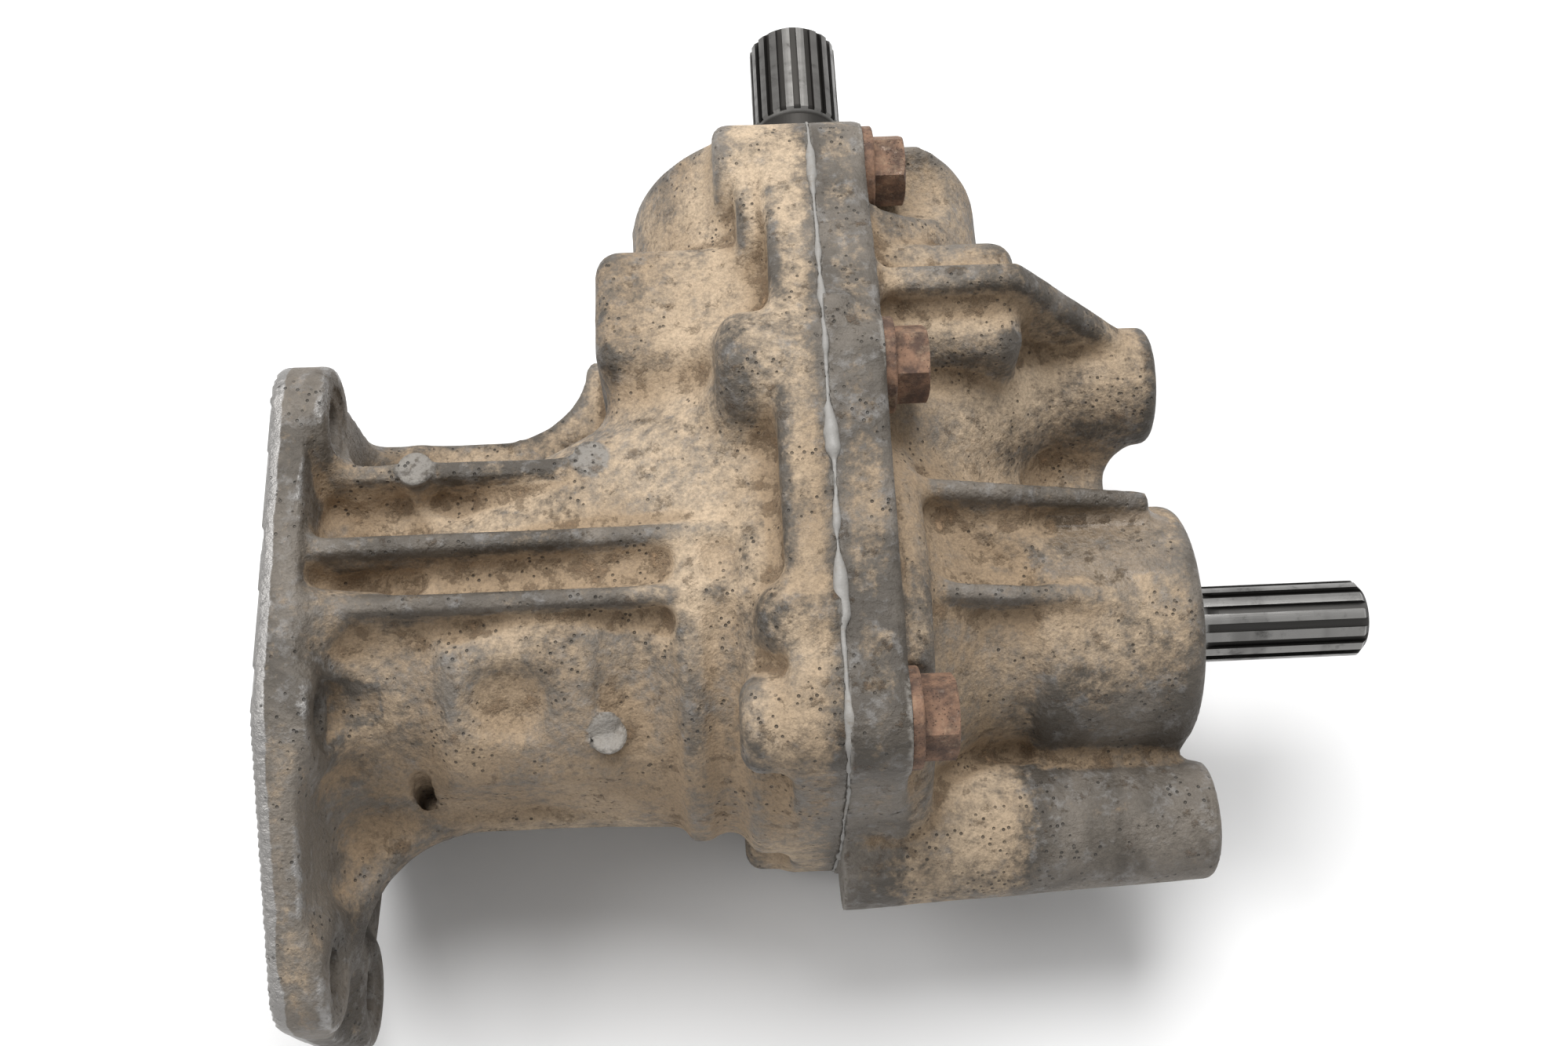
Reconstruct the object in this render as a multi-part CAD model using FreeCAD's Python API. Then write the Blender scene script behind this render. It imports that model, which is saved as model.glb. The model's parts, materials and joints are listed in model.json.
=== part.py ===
import FreeCAD, Part
import math
import os

# Transfer case with a right-angle bevel drive, in millimetres.
# The origin is where the main shaft axis meets the mounting flange face.
# +X runs along the main shaft, +Y along the pinion shaft, and +Z is up.

os.makedirs("parts", exist_ok=True)
V = FreeCAD.Vector

# Planes along the main axis
partingX = 108.0
sealantThick = 0.3
flangeThick = 10.7
leftRimX = 98.0
chamberX = 89.0
rightRimX = 119.5
rightEndX = 182.0

# Fits and running clearances
seatGap = 0.02
runGap = 0.05
ballGap = 0.1
boltGap = 0.5

# Mounting flange: holes on the near side, then on the far side
flangeHoleR = 4.25
flangeLobeR = 11.5
spotfaceR = 7.0
spotfaceDepth = 0.8
nearFlangeHoles = [(37.5, 35.0), (-22.4, 31.5), (-65.0, 7.5)]
farFlangeHoles = [(-64.0, -24.0), (-4.0, -43.0), (46.0, -20.0)]
pilotR = 28.0
pilotDepth = 6.0

# Input housing, a tube about the main axis that flares into the gear chamber
tubeR = 33.0
flareStartX = 34.0
flareStartR = 31.0
flareCornerY = 42.0
flareCornerZ = 28.0
flareCornerR = 13.0
chamberR = 43.5
cavityR = 38.0

# Case bolts: flange-headed, from the output side into tapped bosses
boltR = 5.0
boltHeadAcross = 14.0
boltHeadHeight = 6.6
boltWasherR = 9.6
boltWasherThick = 2.2
boltReach = 14.0
boltBossR = 10.0
bossStep = 0.7
outerBoltY = 94.0
outerBoltZ = 35.0
middleBoltY = 41.0
middleBoltZ = 44.0
lowerBoltY = -30.0
lowerBoltZ = 38.0
dowelR = 3.0
dowelLength = 16.0
dowelY = -12.0
dowelZ = 44.5
dowelBossR = 7.6

# Pinion housing, a cylinder about the pinion axis
pinionHouseR = 40.0
pinionHouseStart = 50.0
pinionFaceY = 105.0

# Bevel gear pair with its common apex on the main axis
ringTeeth = 27
pinionTeeth = 13
gearModule = 2.6
gearFace = 11.0
pressureAngle = 20.0
profileShift = 0.3
toothBacklash = 0.3
rootClearance = 0.25
ringHubEndX = 99.5
ringBackX = 84.5

# Main shaft seats
shaftStartX = 9.0
inputSplineEndX = 27.0
inputSplineR = 11.0
inputLandR = 13.0
collarX = 60.0
mainSeatR = 15.0
collarWall = 2.5
collarR = mainSeatR + collarWall
ringHubWall = 5.0
ringHubR = mainSeatR + ringHubWall
midShaftR = 11.5
outSeatR = 10.0
outLandR = 9.0
outSplineX = 185.5
outSplineR = 8.0
shaftEndX = 221.0

# Main bearings
leftBearingX = 67.0
leftBearingWide = 13.0
leftBearingR = 27.5
rightBearingX = 156.5
rightBearingWide = 12.0
rightBearingR = 21.0

# Pinion shaft and its bearings
pinionSeatR = 12.5
pinionCollarWall = 3.0
pinionCollarR = pinionSeatR + pinionCollarWall
pinionBearingR = 26.0
pinionBearingWide = 15.0
innerPinionBearingY = 42.0
outerPinionBearingY = 78.0
pinionLandR = 12.0
pinionNeckR = 9.6
pinionNeckY = 113.0
pinionSplineY = 131.5
pinionSplineR = 10.5
pinionTipY = 157.0

# Oil seals
sealWide = 7.0
inputSealX = 34.0
inputSealR = 21.0
outSealX = 174.0
outSealR = 16.0
pinionSealY = 97.0
pinionSealR = 20.0

# Bosses on the output side
mainBossR = 25.5
mainBossX = 148.0
neckR = 22.0
neckBoreR = 17.0
upperBossY = 56.0
upperBossZ = 4.0
upperBossR = 13.0
threadR = 5.0
threadDepth = 28.0
lowerTubeY = -39.5
lowerTubeZ = -10.0
lowerTubeStartR = 15.0
lowerTubeEndR = 12.0
lowerTubeEndX = 185.0

# Oil plugs and their bosses, on the hidden side and beside the output boss
plugR = 7.0
plugHeadR = 10.0
plugHeadHeight = 6.0
plugSocketAcross = 8.0
plugLength = 10.0
plugWasherThick = 1.5
plugBossR = 12.0
fillX = 86.0
fillY = 14.0
fillFaceZ = 46.0
drainY = -9.0
drainZ = -32.5
drainFaceX = 130.0


def cylinderX(startX, endX, radius, y=0.0, z=0.0):
    return Part.makeCylinder(radius, endX - startX, V(startX, y, z), V(1, 0, 0))


def cylinderY(startY, endY, radius, x=partingX, z=0.0):
    return Part.makeCylinder(radius, endY - startY, V(x, startY, z), V(0, 1, 0))


def cylinderZ(startZ, endZ, radius, x, y):
    return Part.makeCylinder(radius, endZ - startZ, V(x, y, startZ), V(0, 0, 1))


def block(x0, x1, y0, y1, z0, z1):
    return Part.makeBox(x1 - x0, y1 - y0, z1 - z0, V(x0, y0, z0))


def roundedBlock(x0, x1, y0, y1, z0, z1, radius):
    solid = block(x0, x1, y0, y1, z0, z1)
    return solid.makeFillet(radius, solid.Edges)


def polygonFace(points):
    return Part.Face(Part.makePolygon(points + [points[0]]))


def turnedX(profile):
    """Solid of revolution about the main axis from pairs of place and radius."""
    face = polygonFace([V(x, r, 0) for x, r in profile])
    return face.revolve(V(0, 0, 0), V(1, 0, 0), 360)


def turnedY(profile):
    """Solid of revolution about the pinion axis from pairs of place and radius."""
    face = polygonFace([V(partingX + r, y, 0) for y, r in profile])
    return face.revolve(V(partingX, 0, 0), V(0, 1, 0), 360)


def plateNormalY(outline, y, thick):
    """Flat plate across Y from an outline of X and Z pairs."""
    face = polygonFace([V(x, y - thick / 2, z) for x, z in outline])
    return face.extrude(V(0, thick, 0))


def plateNormalZ(outline, z, thick):
    """Flat plate across Z from an outline of X and Y pairs."""
    face = polygonFace([V(x, y, z - thick / 2) for x, y in outline])
    return face.extrude(V(0, 0, thick))


def bossX(startX, endX, radius, y, z, startRound=0.0, endRound=0.0):
    """Boss along X whose ends can be rounded over."""
    boss = cylinderX(startX, endX, radius, y, z)
    for place, size in ((startX, startRound), (endX, endRound)):
        if size > 0:
            rims = [e for e in boss.Edges if len(e.Vertexes) == 1 and abs(e.Vertexes[0].X - place) < 0.001]
            boss = boss.makeFillet(size, rims)
    return boss


def beltWire(circles, x):
    """Outline round several circles: tangent lines and arcs, circles in turning order."""
    normals = []
    count = len(circles)
    for i in range(count):
        y0, z0, r0 = circles[i]
        y1, z1, r1 = circles[(i + 1) % count]
        heading = math.atan2(z1 - z0, y1 - y0)
        lean = math.acos((r0 - r1) / math.hypot(y1 - y0, z1 - z0))
        normals.append(heading - lean)
    edges = []
    for i in range(count):
        y, z, r = circles[i]
        before = normals[i - 1]
        after = normals[i]
        while after < before:
            after += 2 * math.pi
        spots = []
        for angle in (before, (before + after) / 2, after):
            spots.append(V(x, y + r * math.cos(angle), z + r * math.sin(angle)))
        edges.append(Part.Arc(*spots).toShape())
        yNext, zNext, rNext = circles[(i + 1) % count]
        landing = V(x, yNext + rNext * math.cos(after), zNext + rNext * math.sin(after))
        edges.append(Part.LineSegment(spots[2], landing).toShape())
    return Part.Wire(edges)


def beltPlate(circles, startX, endX):
    return Part.Face(beltWire(circles, startX)).extrude(V(endX - startX, 0, 0))


def beltLoft(startCircles, startX, endCircles, endX):
    return Part.makeLoft([beltWire(startCircles, startX), beltWire(endCircles, endX)], True, True)


def fuseAll(shapes):
    return shapes[0].multiFuse(shapes[1:])


def spinX(shape, degrees):
    turned = shape.copy()
    turned.rotate(V(0, 0, 0), V(1, 0, 0), degrees)
    return turned


def mirrorZ(shape):
    return shape.mirror(V(0, 0, 0), V(0, 0, 1))


# Bolt, dowel and plug places, shared by the cases, the sealant and the fasteners
nearBolts = [(outerBoltY, outerBoltZ), (middleBoltY, middleBoltZ), (lowerBoltY, lowerBoltZ)]
caseBolts = nearBolts + [(y, -z) for y, z in nearBolts]
dowels = [(dowelY, dowelZ), (dowelY, -dowelZ)]


def rimCircles(shrink=0.0):
    """Outline of the parting flange, round its six bolts and the gear chamber."""
    r = boltBossR - shrink
    return [
        (0.0, 0.0, chamberR + 0.5 - shrink),
        (lowerBoltY, -lowerBoltZ, r),
        (middleBoltY, -middleBoltZ, r),
        (outerBoltY, -outerBoltZ, r),
        (outerBoltY, outerBoltZ, r),
        (middleBoltY, middleBoltZ, r),
        (lowerBoltY, lowerBoltZ, r),
    ]


def gearCavity():
    """Hollow about the main axis: pilot, seal seats, bearing seats and gear chamber."""
    leftShoulder = leftBearingX + leftBearingWide
    rightShoulder = rightBearingX + rightBearingWide
    sealStep = outSealX + sealWide
    return turnedX([
        (-1.0, 0.0), (-1.0, pilotR), (pilotDepth, pilotR), (pilotDepth, pilotR - 4.0),
        (inputSealX - 5.0, pilotR - 4.0), (inputSealX - 5.0, inputSealR + seatGap),
        (inputSealX + sealWide, inputSealR + seatGap), (inputSealX + sealWide, inputSealR - 3.0),
        (inputSealX + sealWide + 4.0, inputSealR - 3.0), (inputSealX + sealWide + 7.0, leftBearingR - 3.5),
        (leftBearingX, leftBearingR - 3.5), (leftBearingX, leftBearingR + seatGap),
        (leftShoulder, leftBearingR + seatGap), (leftShoulder + 1.5, cavityR),
        (partingX + 9.0, cavityR), (partingX + 16.0, cavityR - 12.0), (partingX + 26.0, neckBoreR),
        (rightBearingX - 8.0, neckBoreR), (rightBearingX, rightBearingR + seatGap),
        (rightShoulder, rightBearingR + seatGap), (rightShoulder, outSealR - 3.0),
        (outSealX, outSealR - 3.0), (outSealX, outSealR + seatGap),
        (sealStep + 2.0, outSealR + seatGap), (sealStep + 2.0, 0.0),
    ])


def pinionCavity():
    """Hollow about the pinion axis: head room, two bearing seats and the seal seat."""
    innerEnd = innerPinionBearingY + pinionBearingWide
    outerEnd = outerPinionBearingY + pinionBearingWide
    return turnedY([
        (0.0, 0.0), (0.0, pinionBearingR - 2.5), (innerPinionBearingY, pinionBearingR - 2.5),
        (innerPinionBearingY, pinionBearingR + seatGap), (innerEnd, pinionBearingR + seatGap),
        (innerEnd, pinionBearingR - 3.0), (outerPinionBearingY, pinionBearingR - 3.0),
        (outerPinionBearingY, pinionBearingR + seatGap), (outerEnd, pinionBearingR + seatGap),
        (outerEnd, pinionSealR - 2.5), (pinionSealY, pinionSealR - 2.5),
        (pinionSealY, pinionSealR + seatGap), (pinionFaceY + 8.0, pinionSealR + seatGap),
        (pinionFaceY + 8.0, 0.0),
    ])


def mountingFlange():
    """Elongated plate round six lobes, each with a drilled hole and a spot face."""
    holes = farFlangeHoles + nearFlangeHoles
    circles = [(y, z, flangeLobeR) for y, z in holes]
    plate = beltPlate(circles, 0.0, flangeThick - 3.2)
    lobes = [bossX(0.0, flangeThick, flangeLobeR, y, z, 0.0, 1.5) for y, z in holes]
    flange = fuseAll([plate] + lobes)
    return flange, holes


def flareBody():
    """Cone from the input tube to the wide gear chamber, leaning towards the pinion."""
    start = [(0.0, 0.0, flareStartR), (3.0, -2.0, flareStartR - 1.5), (3.0, 2.0, flareStartR - 1.5)]
    end = [
        (0.0, 0.0, chamberR - 3.0),
        (flareCornerY, -flareCornerZ, flareCornerR),
        (flareCornerY, flareCornerZ, flareCornerR),
    ]
    return beltLoft(start, flareStartX, end, leftRimX)


def pinionHouse(startX, endX):
    """Half of the cylinder that holds the pinion bearings, with its end rounded over."""
    drum = cylinderY(pinionHouseStart, pinionFaceY, pinionHouseR)
    rims = [e for e in drum.Edges if len(e.Vertexes) == 1 and abs(e.Vertexes[0].Y - pinionFaceY) < 0.001]
    drum = drum.makeFillet(3.0, rims)
    collar = cylinderY(pinionFaceY - 1.0, pinionFaceY + 4.0, pinionSealR + 5.0)
    room = block(startX, endX, 0.0, pinionFaceY + 10.0, -60.0, 60.0)
    return fuseAll([drum, collar]).common(room)


def upperWeb():
    """Gusset web from the flange to the chamber, with a wide round inner corner."""
    edgeY = 56.0
    cornerR = 20.0
    startX = 36.0
    web = plateNormalZ([
        (5.0, 20.0), (5.0, edgeY), (startX, edgeY), (startX, edgeY + cornerR),
        (startX + cornerR + 6.0, edgeY + cornerR), (startX + cornerR + 6.0, 20.0),
    ], -14.0, 7.0)
    return web.cut(cylinderZ(-30.0, 10.0, cornerR, startX, edgeY + cornerR))


def lowerWeb():
    """Gusset web below the tube, rounded where it meets the flange."""
    edgeY = -35.5
    cornerR = 25.0
    startX = 36.0
    web = plateNormalZ([
        (5.0, -20.0), (5.0, edgeY - cornerR), (startX, edgeY - cornerR), (startX, edgeY),
        (chamberX + 1.0, edgeY - 1.0), (chamberX + 1.0, -20.0),
    ], -6.0, 7.0)
    return web.cut(cylinderZ(-30.0, 10.0, cornerR, startX, edgeY - cornerR))


def caseLeft():
    """Input half of the case: mounting flange, tube, flare and half the pinion housing."""
    flange, holes = mountingFlange()
    face = partingX - sealantThick / 2
    tube = cylinderX(0.0, chamberX + 2.0, tubeR)
    drum = bossX(chamberX, face, chamberR, 0.0, 0.0, 4.0)
    rim = beltPlate(rimCircles(), leftRimX, face)
    body = [flange, tube, flareBody(), drum, rim, pinionHouse(40.0, face)]

    # Box over the inner pinion bearing, and its twin on the far side by symmetry
    body.append(roundedBlock(62.0, face, 47.0, 76.0, -38.0, 38.0, 5.0).common(
        block(0.0, face, 0.0, 200.0, -60.0, 60.0)))

    # Tapped bosses of the case bolts and the dome over the dowel
    for side in (1, -1):
        body.append(bossX(87.5, face, boltBossR + bossStep, outerBoltY, side * outerBoltZ, 3.0))
        body.append(beltPlate([
            (outerBoltY, side * outerBoltZ, boltBossR),
            (outerBoltY - 16.0, side * (outerBoltZ - 1.0), boltBossR),
            (outerBoltY - 8.0, side * (outerBoltZ - 12.0), boltBossR),
        ][::side], 92.0, face))
        body.append(bossX(86.5, face, boltBossR + 2.0, middleBoltY, side * (middleBoltZ - 1.0), 6.0))
        body.append(bossX(88.5, face, boltBossR - 1.0, lowerBoltY, side * lowerBoltZ, 4.0))
        body.append(bossX(92.0, face, dowelBossR, dowelY, side * (dowelZ - 1.0), 6.5))

    # Long ribs along the tube on both sides
    for side in (1, -1):
        for y, x1, top in ((26.5, 70.0, 35.0), (8.5, 96.0, 41.0), (-4.0, 92.0, 41.0)):
            rib = block(8.0, x1, y - 2.0, y + 2.0, 20.0, top)
            rib = rib.makeFillet(1.6, [e for e in rib.Edges if e.BoundBox.ZMin > top - 0.01])
            body.append(rib if side > 0 else mirrorZ(rib))

    # Round ejector pads on the upper rib and on the bulge
    for x, y, top in ((26.5, 26.5, 35.6), (61.0, 27.5, 35.6), (63.5, -27.0, 26.0)):
        body.append(cylinderZ(10.0, top, 3.5, x, y))

    # Hoop rib round the lower half of the tube
    hoop = cylinderX(77.5, 82.0, 40.5).common(block(70.0, 90.0, -60.0, 8.0, -60.0, 60.0))
    body.append(hoop)

    # Bulge over the seal, with rounded ends
    bulge = bossX(31.0, 67.0, 37.5, 0.0, 0.0, 4.0, 4.0)
    body.append(bulge.common(block(25.0, 75.0, -33.0, -2.0, 4.0, 60.0)))

    body.append(upperWeb())
    body.append(lowerWeb())

    # Filler boss for the oil on the far side
    body.append(cylinderZ(-fillFaceZ, -fillFaceZ + 20.0, plugBossR, fillX, fillY))
    solid = fuseAll(body)

    tools = [gearCavity(), pinionCavity()]
    tools.append(cylinderZ(-fillFaceZ - 1.0, -cavityR + 12.0, plugR, fillX, fillY))
    for y, z in holes:
        tools.append(cylinderX(-1.0, flangeThick + 1.0, flangeHoleR, y, z))
        tools.append(cylinderX(flangeThick - spotfaceDepth, flangeThick + 12.0, spotfaceR, y, z))
    for y, z in caseBolts:
        tools.append(cylinderX(face - boltReach - 2.0, face + 1.0, boltR + seatGap, y, z))
    for y, z in dowels:
        tools.append(cylinderX(partingX - dowelLength / 2, face + 1.0, dowelR + seatGap, y, z))
    tools.append(Part.makeSphere(13.0, V(44.0, -30.0, 37.0)))
    tools.append(cylinderZ(-14.0, 4.0, 2.4, 25.5, -31.0))
    return solid.cut(tools)


def caseRight():
    """Output half of the case: parting flange, bosses, tubes and the webs between them."""
    face = partingX + sealantThick / 2
    body = [beltPlate(rimCircles(), face, rightRimX), pinionHouse(face, 200.0)]
    body.append(bossX(face, 126.0, chamberR, 0.0, 0.0, 0.0, 6.0))
    body.append(cylinderX(face, mainBossX + 4.0, neckR))
    body.append(bossX(mainBossX, rightEndX, mainBossR, 0.0, 0.0, 3.0, 3.5))
    body.append(roundedBlock(face - 6.0, 150.0, 47.0, 75.0, -38.0, 38.0, 5.0).common(
        block(face, 200.0, 0.0, 200.0, -60.0, 60.0)))
    for side in (1, -1):
        for y, z in nearBolts:
            body.append(bossX(face, rightRimX, boltBossR + bossStep, y, side * z, 0.0, 1.0))

    # Cone that runs to the upper boss
    cone = Part.makeLoft([
        Part.Wire(Part.makeCircle(30.0, V(115.0, 37.0, 6.0), V(1, 0, 0))),
        Part.Wire(Part.makeCircle(upperBossR - 1.5, V(161.0, upperBossY, upperBossZ), V(1, 0, 0))),
    ], True, True)
    body.append(cone)
    body.append(bossX(150.0, rightEndX, upperBossR, upperBossY, upperBossZ, 0.0, 1.5))

    # Shelf rib above the cone, sloping down to the upper boss
    shelf = plateNormalY([(112.0, 45.0), (149.0, 45.0), (178.0, 14.0), (178.0, 0.0), (112.0, 0.0)], 61.0, 5.5)
    body.append(shelf)

    # Webs between the upper boss, the main boss and the lower tube
    body.append(plateNormalZ([(112.0, 5.0), (112.0, 56.0), (172.0, 56.0), (172.0, 5.0)], -8.0, 6.0))
    body.append(plateNormalZ([(112.0, -5.0), (112.0, -39.0), (177.0, -39.0), (177.0, -5.0)], -14.0, 6.0))

    # Thin ribs on the near face
    body.append(plateNormalY([(112.0, 44.0), (122.0, 34.0), (176.0, 24.0), (176.0, 0.0), (112.0, 0.0)], -2.5, 3.6))
    body.append(plateNormalY([(112.0, 44.0), (122.0, 36.0), (174.0, 24.0), (174.0, 0.0), (112.0, 0.0)], 19.0, 4.0))

    # Long lower boss, slightly tapered
    tubeStart = V(face + 1.5, lowerTubeY, lowerTubeZ)
    tubeLength = lowerTubeEndX - tubeStart.x
    body.append(Part.makeCone(lowerTubeStartR, lowerTubeEndR, tubeLength, tubeStart, V(1, 0, 0)))

    # Pry tab beside the middle bolt and the drain boss below the shaft
    tab = block(face, 113.5, middleBoltY + 1.0, middleBoltY + 11.0, middleBoltZ - 6.0, middleBoltZ + 11.5)
    body.append(tab.makeFillet(2.4, [e for e in tab.Edges if e.BoundBox.ZMin > middleBoltZ + 11.4]))
    body.append(cylinderX(rightRimX - 2.0, drainFaceX, plugBossR, drainY, drainZ))
    solid = fuseAll(body)

    tools = [gearCavity(), pinionCavity()]
    for y, z in caseBolts:
        tools.append(cylinderX(face - 1.0, rightRimX + 2.0, boltR + boltGap, y, z))
        tools.append(cylinderX(rightRimX, rightRimX + 26.0, boltWasherR + 1.0, y, z))
    for y, z in dowels:
        tools.append(cylinderX(face - 1.0, partingX + dowelLength / 2, dowelR + seatGap, y, z))
    tools.append(cylinderX(lowerTubeEndX - threadDepth, 200.0, threadR, lowerTubeY, lowerTubeZ))
    tools.append(cylinderX(rightEndX - threadDepth, 200.0, threadR, upperBossY, upperBossZ))
    tools.append(cylinderX(partingX + 4.0, drainFaceX + 1.0, plugR, drainY, drainZ))
    return solid.cut(tools)


def splineCutter(tipPlace, endPlace, rootR, tipR, width, runout):
    """Groove along +X above the axis, rising out of the shaft along an arc at one end."""
    away = 1.0 if tipPlace > endPlace else -1.0
    start = V(tipPlace + away * 2.0, 0, rootR)
    floorEnd = V(endPlace + away * runout, 0, rootR)
    exitSpot = V(endPlace, 0, tipR + 0.3)
    middle = V(endPlace + away * runout * 0.42, 0, rootR + (tipR + 0.3 - rootR) * 0.3)
    top = V(endPlace, 0, tipR + 3.0)
    far = V(tipPlace + away * 2.0, 0, tipR + 3.0)
    wire = Part.Wire([
        Part.LineSegment(start, floorEnd).toShape(),
        Part.Arc(floorEnd, middle, exitSpot).toShape(),
        Part.LineSegment(exitSpot, top).toShape(),
        Part.LineSegment(top, far).toShape(),
        Part.LineSegment(far, start).toShape(),
    ])
    groove = Part.Face(wire).extrude(V(0, width, 0))
    groove.translate(V(0, -width / 2, 0))
    return groove


def splineGrooves(count, tipPlace, endPlace, rootR, tipR, runout):
    width = math.pi * (rootR + tipR) / count * 0.5
    groove = splineCutter(tipPlace, endPlace, rootR, tipR, width, runout)
    return [spinX(groove, 360.0 * i / count) for i in range(count)]


def toPinionAxis(shape):
    """Moves a shape made along +X about the main axis onto the pinion axis."""
    moved = shape.copy()
    moved.rotate(V(0, 0, 0), V(0, 0, 1), 90)
    moved.translate(V(partingX, 0, 0))
    return moved


def mainShaft():
    """Through shaft: input splines, seal land, collar, seats, output splines."""
    seatEnd = ringHubEndX + 3.5
    rightEnd = rightBearingX + rightBearingWide
    shaft = turnedX([
        (shaftStartX, 0.0), (shaftStartX, inputSplineR - 2.0), (shaftStartX + 1.5, inputSplineR),
        (inputSplineEndX, inputSplineR), (inputSplineEndX + 1.0, inputSplineR - 1.0),
        (inputSealX - 3.0, inputSplineR - 1.0), (inputSealX - 1.0, inputLandR),
        (collarX, inputLandR), (collarX, collarR), (leftBearingX, collarR),
        (leftBearingX, mainSeatR), (seatEnd, mainSeatR), (seatEnd + 1.0, midShaftR),
        (rightBearingX, midShaftR), (rightBearingX, outSeatR), (rightEnd, outSeatR),
        (rightEnd, outLandR), (outSplineX - 3.0, outLandR), (outSplineX - 2.0, outSplineR),
        (shaftEndX - 1.5, outSplineR), (shaftEndX, outSplineR - 1.6), (shaftEndX, 0.0),
    ])
    grooves = splineGrooves(13, shaftEndX, outSplineX, outSplineR - 1.3, outSplineR, 4.0)
    grooves += splineGrooves(19, shaftStartX, inputSplineEndX - 2.0, inputSplineR - 1.3, inputSplineR, 3.0)
    clip = turnedX([
        (ringHubEndX + runGap, mainSeatR - 1.2), (ringHubEndX + runGap, mainSeatR + 2.0),
        (ringHubEndX + 1.6, mainSeatR + 2.0), (ringHubEndX + 1.6, mainSeatR - 1.2),
    ])
    return shaft.cut(grooves + [clip])


# Bevel gear geometry, worked out on the back cone
ringPitchR = gearModule * ringTeeth / 2
pinionPitchR = gearModule * pinionTeeth / 2
coneDistance = math.hypot(ringPitchR, pinionPitchR)


def involute(angle):
    return math.tan(angle) - angle


def backConePoint(slant, pitchAngle):
    """Radius and distance along the axis of a point on the back cone."""
    radius = slant * math.cos(pitchAngle)
    along = coneDistance / math.cos(pitchAngle) - slant * math.sin(pitchAngle)
    return radius, along


def gapHalfAngle(slant, teeth, pitchAngle, shift):
    """Half the angle of the gap between two teeth at a slant radius."""
    pitchSlant = coneDistance * math.tan(pitchAngle)
    pressure = math.radians(pressureAngle)
    baseSlant = pitchSlant * math.cos(pressure)
    local = math.acos(min(1.0, baseSlant / slant)) if slant > baseSlant else 0.0
    thick = gearModule * (math.pi / 2 + 2 * shift * math.tan(pressure)) - toothBacklash / 2
    toothHalf = thick / (2 * pitchSlant) + involute(pressure) - involute(local)
    virtualTeeth = teeth / math.cos(pitchAngle)
    return (math.pi / virtualTeeth - toothHalf) / math.cos(pitchAngle)


def gapWire(teeth, pitchAngle, shift, rootSlant, topSlant, distance):
    """Gap outline on the plane across the pitch line at a distance from the apex."""
    steps = 6
    normal = V(math.sin(pitchAngle), 0, math.cos(pitchAngle))
    flanks = []
    for side in (-1, 1):
        flank = []
        for i in range(steps + 1):
            slant = rootSlant + (topSlant - rootSlant) * i / steps
            radius, along = backConePoint(slant, pitchAngle)
            angle = side * gapHalfAngle(slant, teeth, pitchAngle, shift)
            point = V(radius * math.cos(angle), radius * math.sin(angle), along)
            flank.append(point * (distance / point.dot(normal)))
        flanks.append(flank)
    curves = []
    for flank in flanks:
        curve = Part.BSplineCurve()
        curve.interpolate(flank)
        curves.append(curve.toShape())
    foot = Part.LineSegment(flanks[0][0], flanks[1][0]).toShape()
    lid = Part.LineSegment(flanks[0][-1], flanks[1][-1]).toShape()
    return Part.Wire([foot, curves[1], lid, curves[0]])


def bevelGear(teeth, pitchAngle, addendum, shift, inner):
    """Straight bevel gear with its apex at the origin and its axis along +Z."""
    pitchSlant = coneDistance * math.tan(pitchAngle)
    workingDepth = 2.0 * gearModule
    rootSlant = pitchSlant + addendum - workingDepth - rootClearance * gearModule
    topSlant = pitchSlant + addendum + 0.8
    share = (coneDistance - gearFace) / coneDistance
    tipR, tipAlong = backConePoint(pitchSlant + addendum, pitchAngle)
    heelR, heelAlong = backConePoint(rootSlant - 2.5, pitchAngle)
    outline = [(tipR * share, tipAlong * share), (tipR, tipAlong), (heelR, heelAlong)]
    outline += inner
    toeR, toeAlong = backConePoint(rootSlant - 2.5, pitchAngle)
    outline.append((toeR * share, toeAlong * share))
    face = polygonFace([V(r, 0, a) for r, a in outline])
    blank = face.revolve(V(0, 0, 0), V(0, 0, 1), 360)
    outer = gapWire(teeth, pitchAngle, shift, rootSlant, topSlant, coneDistance * 1.12)
    small = gapWire(teeth, pitchAngle, shift, rootSlant, topSlant, coneDistance * share * 0.85)
    gap = Part.makeLoft([small, outer], True, True)
    gaps = []
    for i in range(teeth):
        turned = gap.copy()
        turned.rotate(V(0, 0, 0), V(0, 0, 1), 360.0 * i / teeth)
        gaps.append(turned)
    return blank.cut(gaps)


def ringGear():
    """Bevel ring gear on the main shaft, teeth towards the pinion."""
    pitchAngle = math.atan2(ringTeeth, pinionTeeth)
    back = partingX - ringBackX
    front = partingX - ringHubEndX
    inner = [
        (ringHubR + 10.0, back), (mainSeatR + seatGap, back), (mainSeatR + seatGap, front),
        (ringHubR, front), (ringHubR, front + 3.0),
    ]
    gear = bevelGear(ringTeeth, pitchAngle, (1 - profileShift) * gearModule, -profileShift, inner)
    placed = gear.copy()
    placed.Placement = FreeCAD.Placement(V(partingX, 0, 0), FreeCAD.Rotation(V(0, 1, 0), V(0, 0, -1), V(-1, 0, 0), "ZXY"))
    return placed


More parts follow.
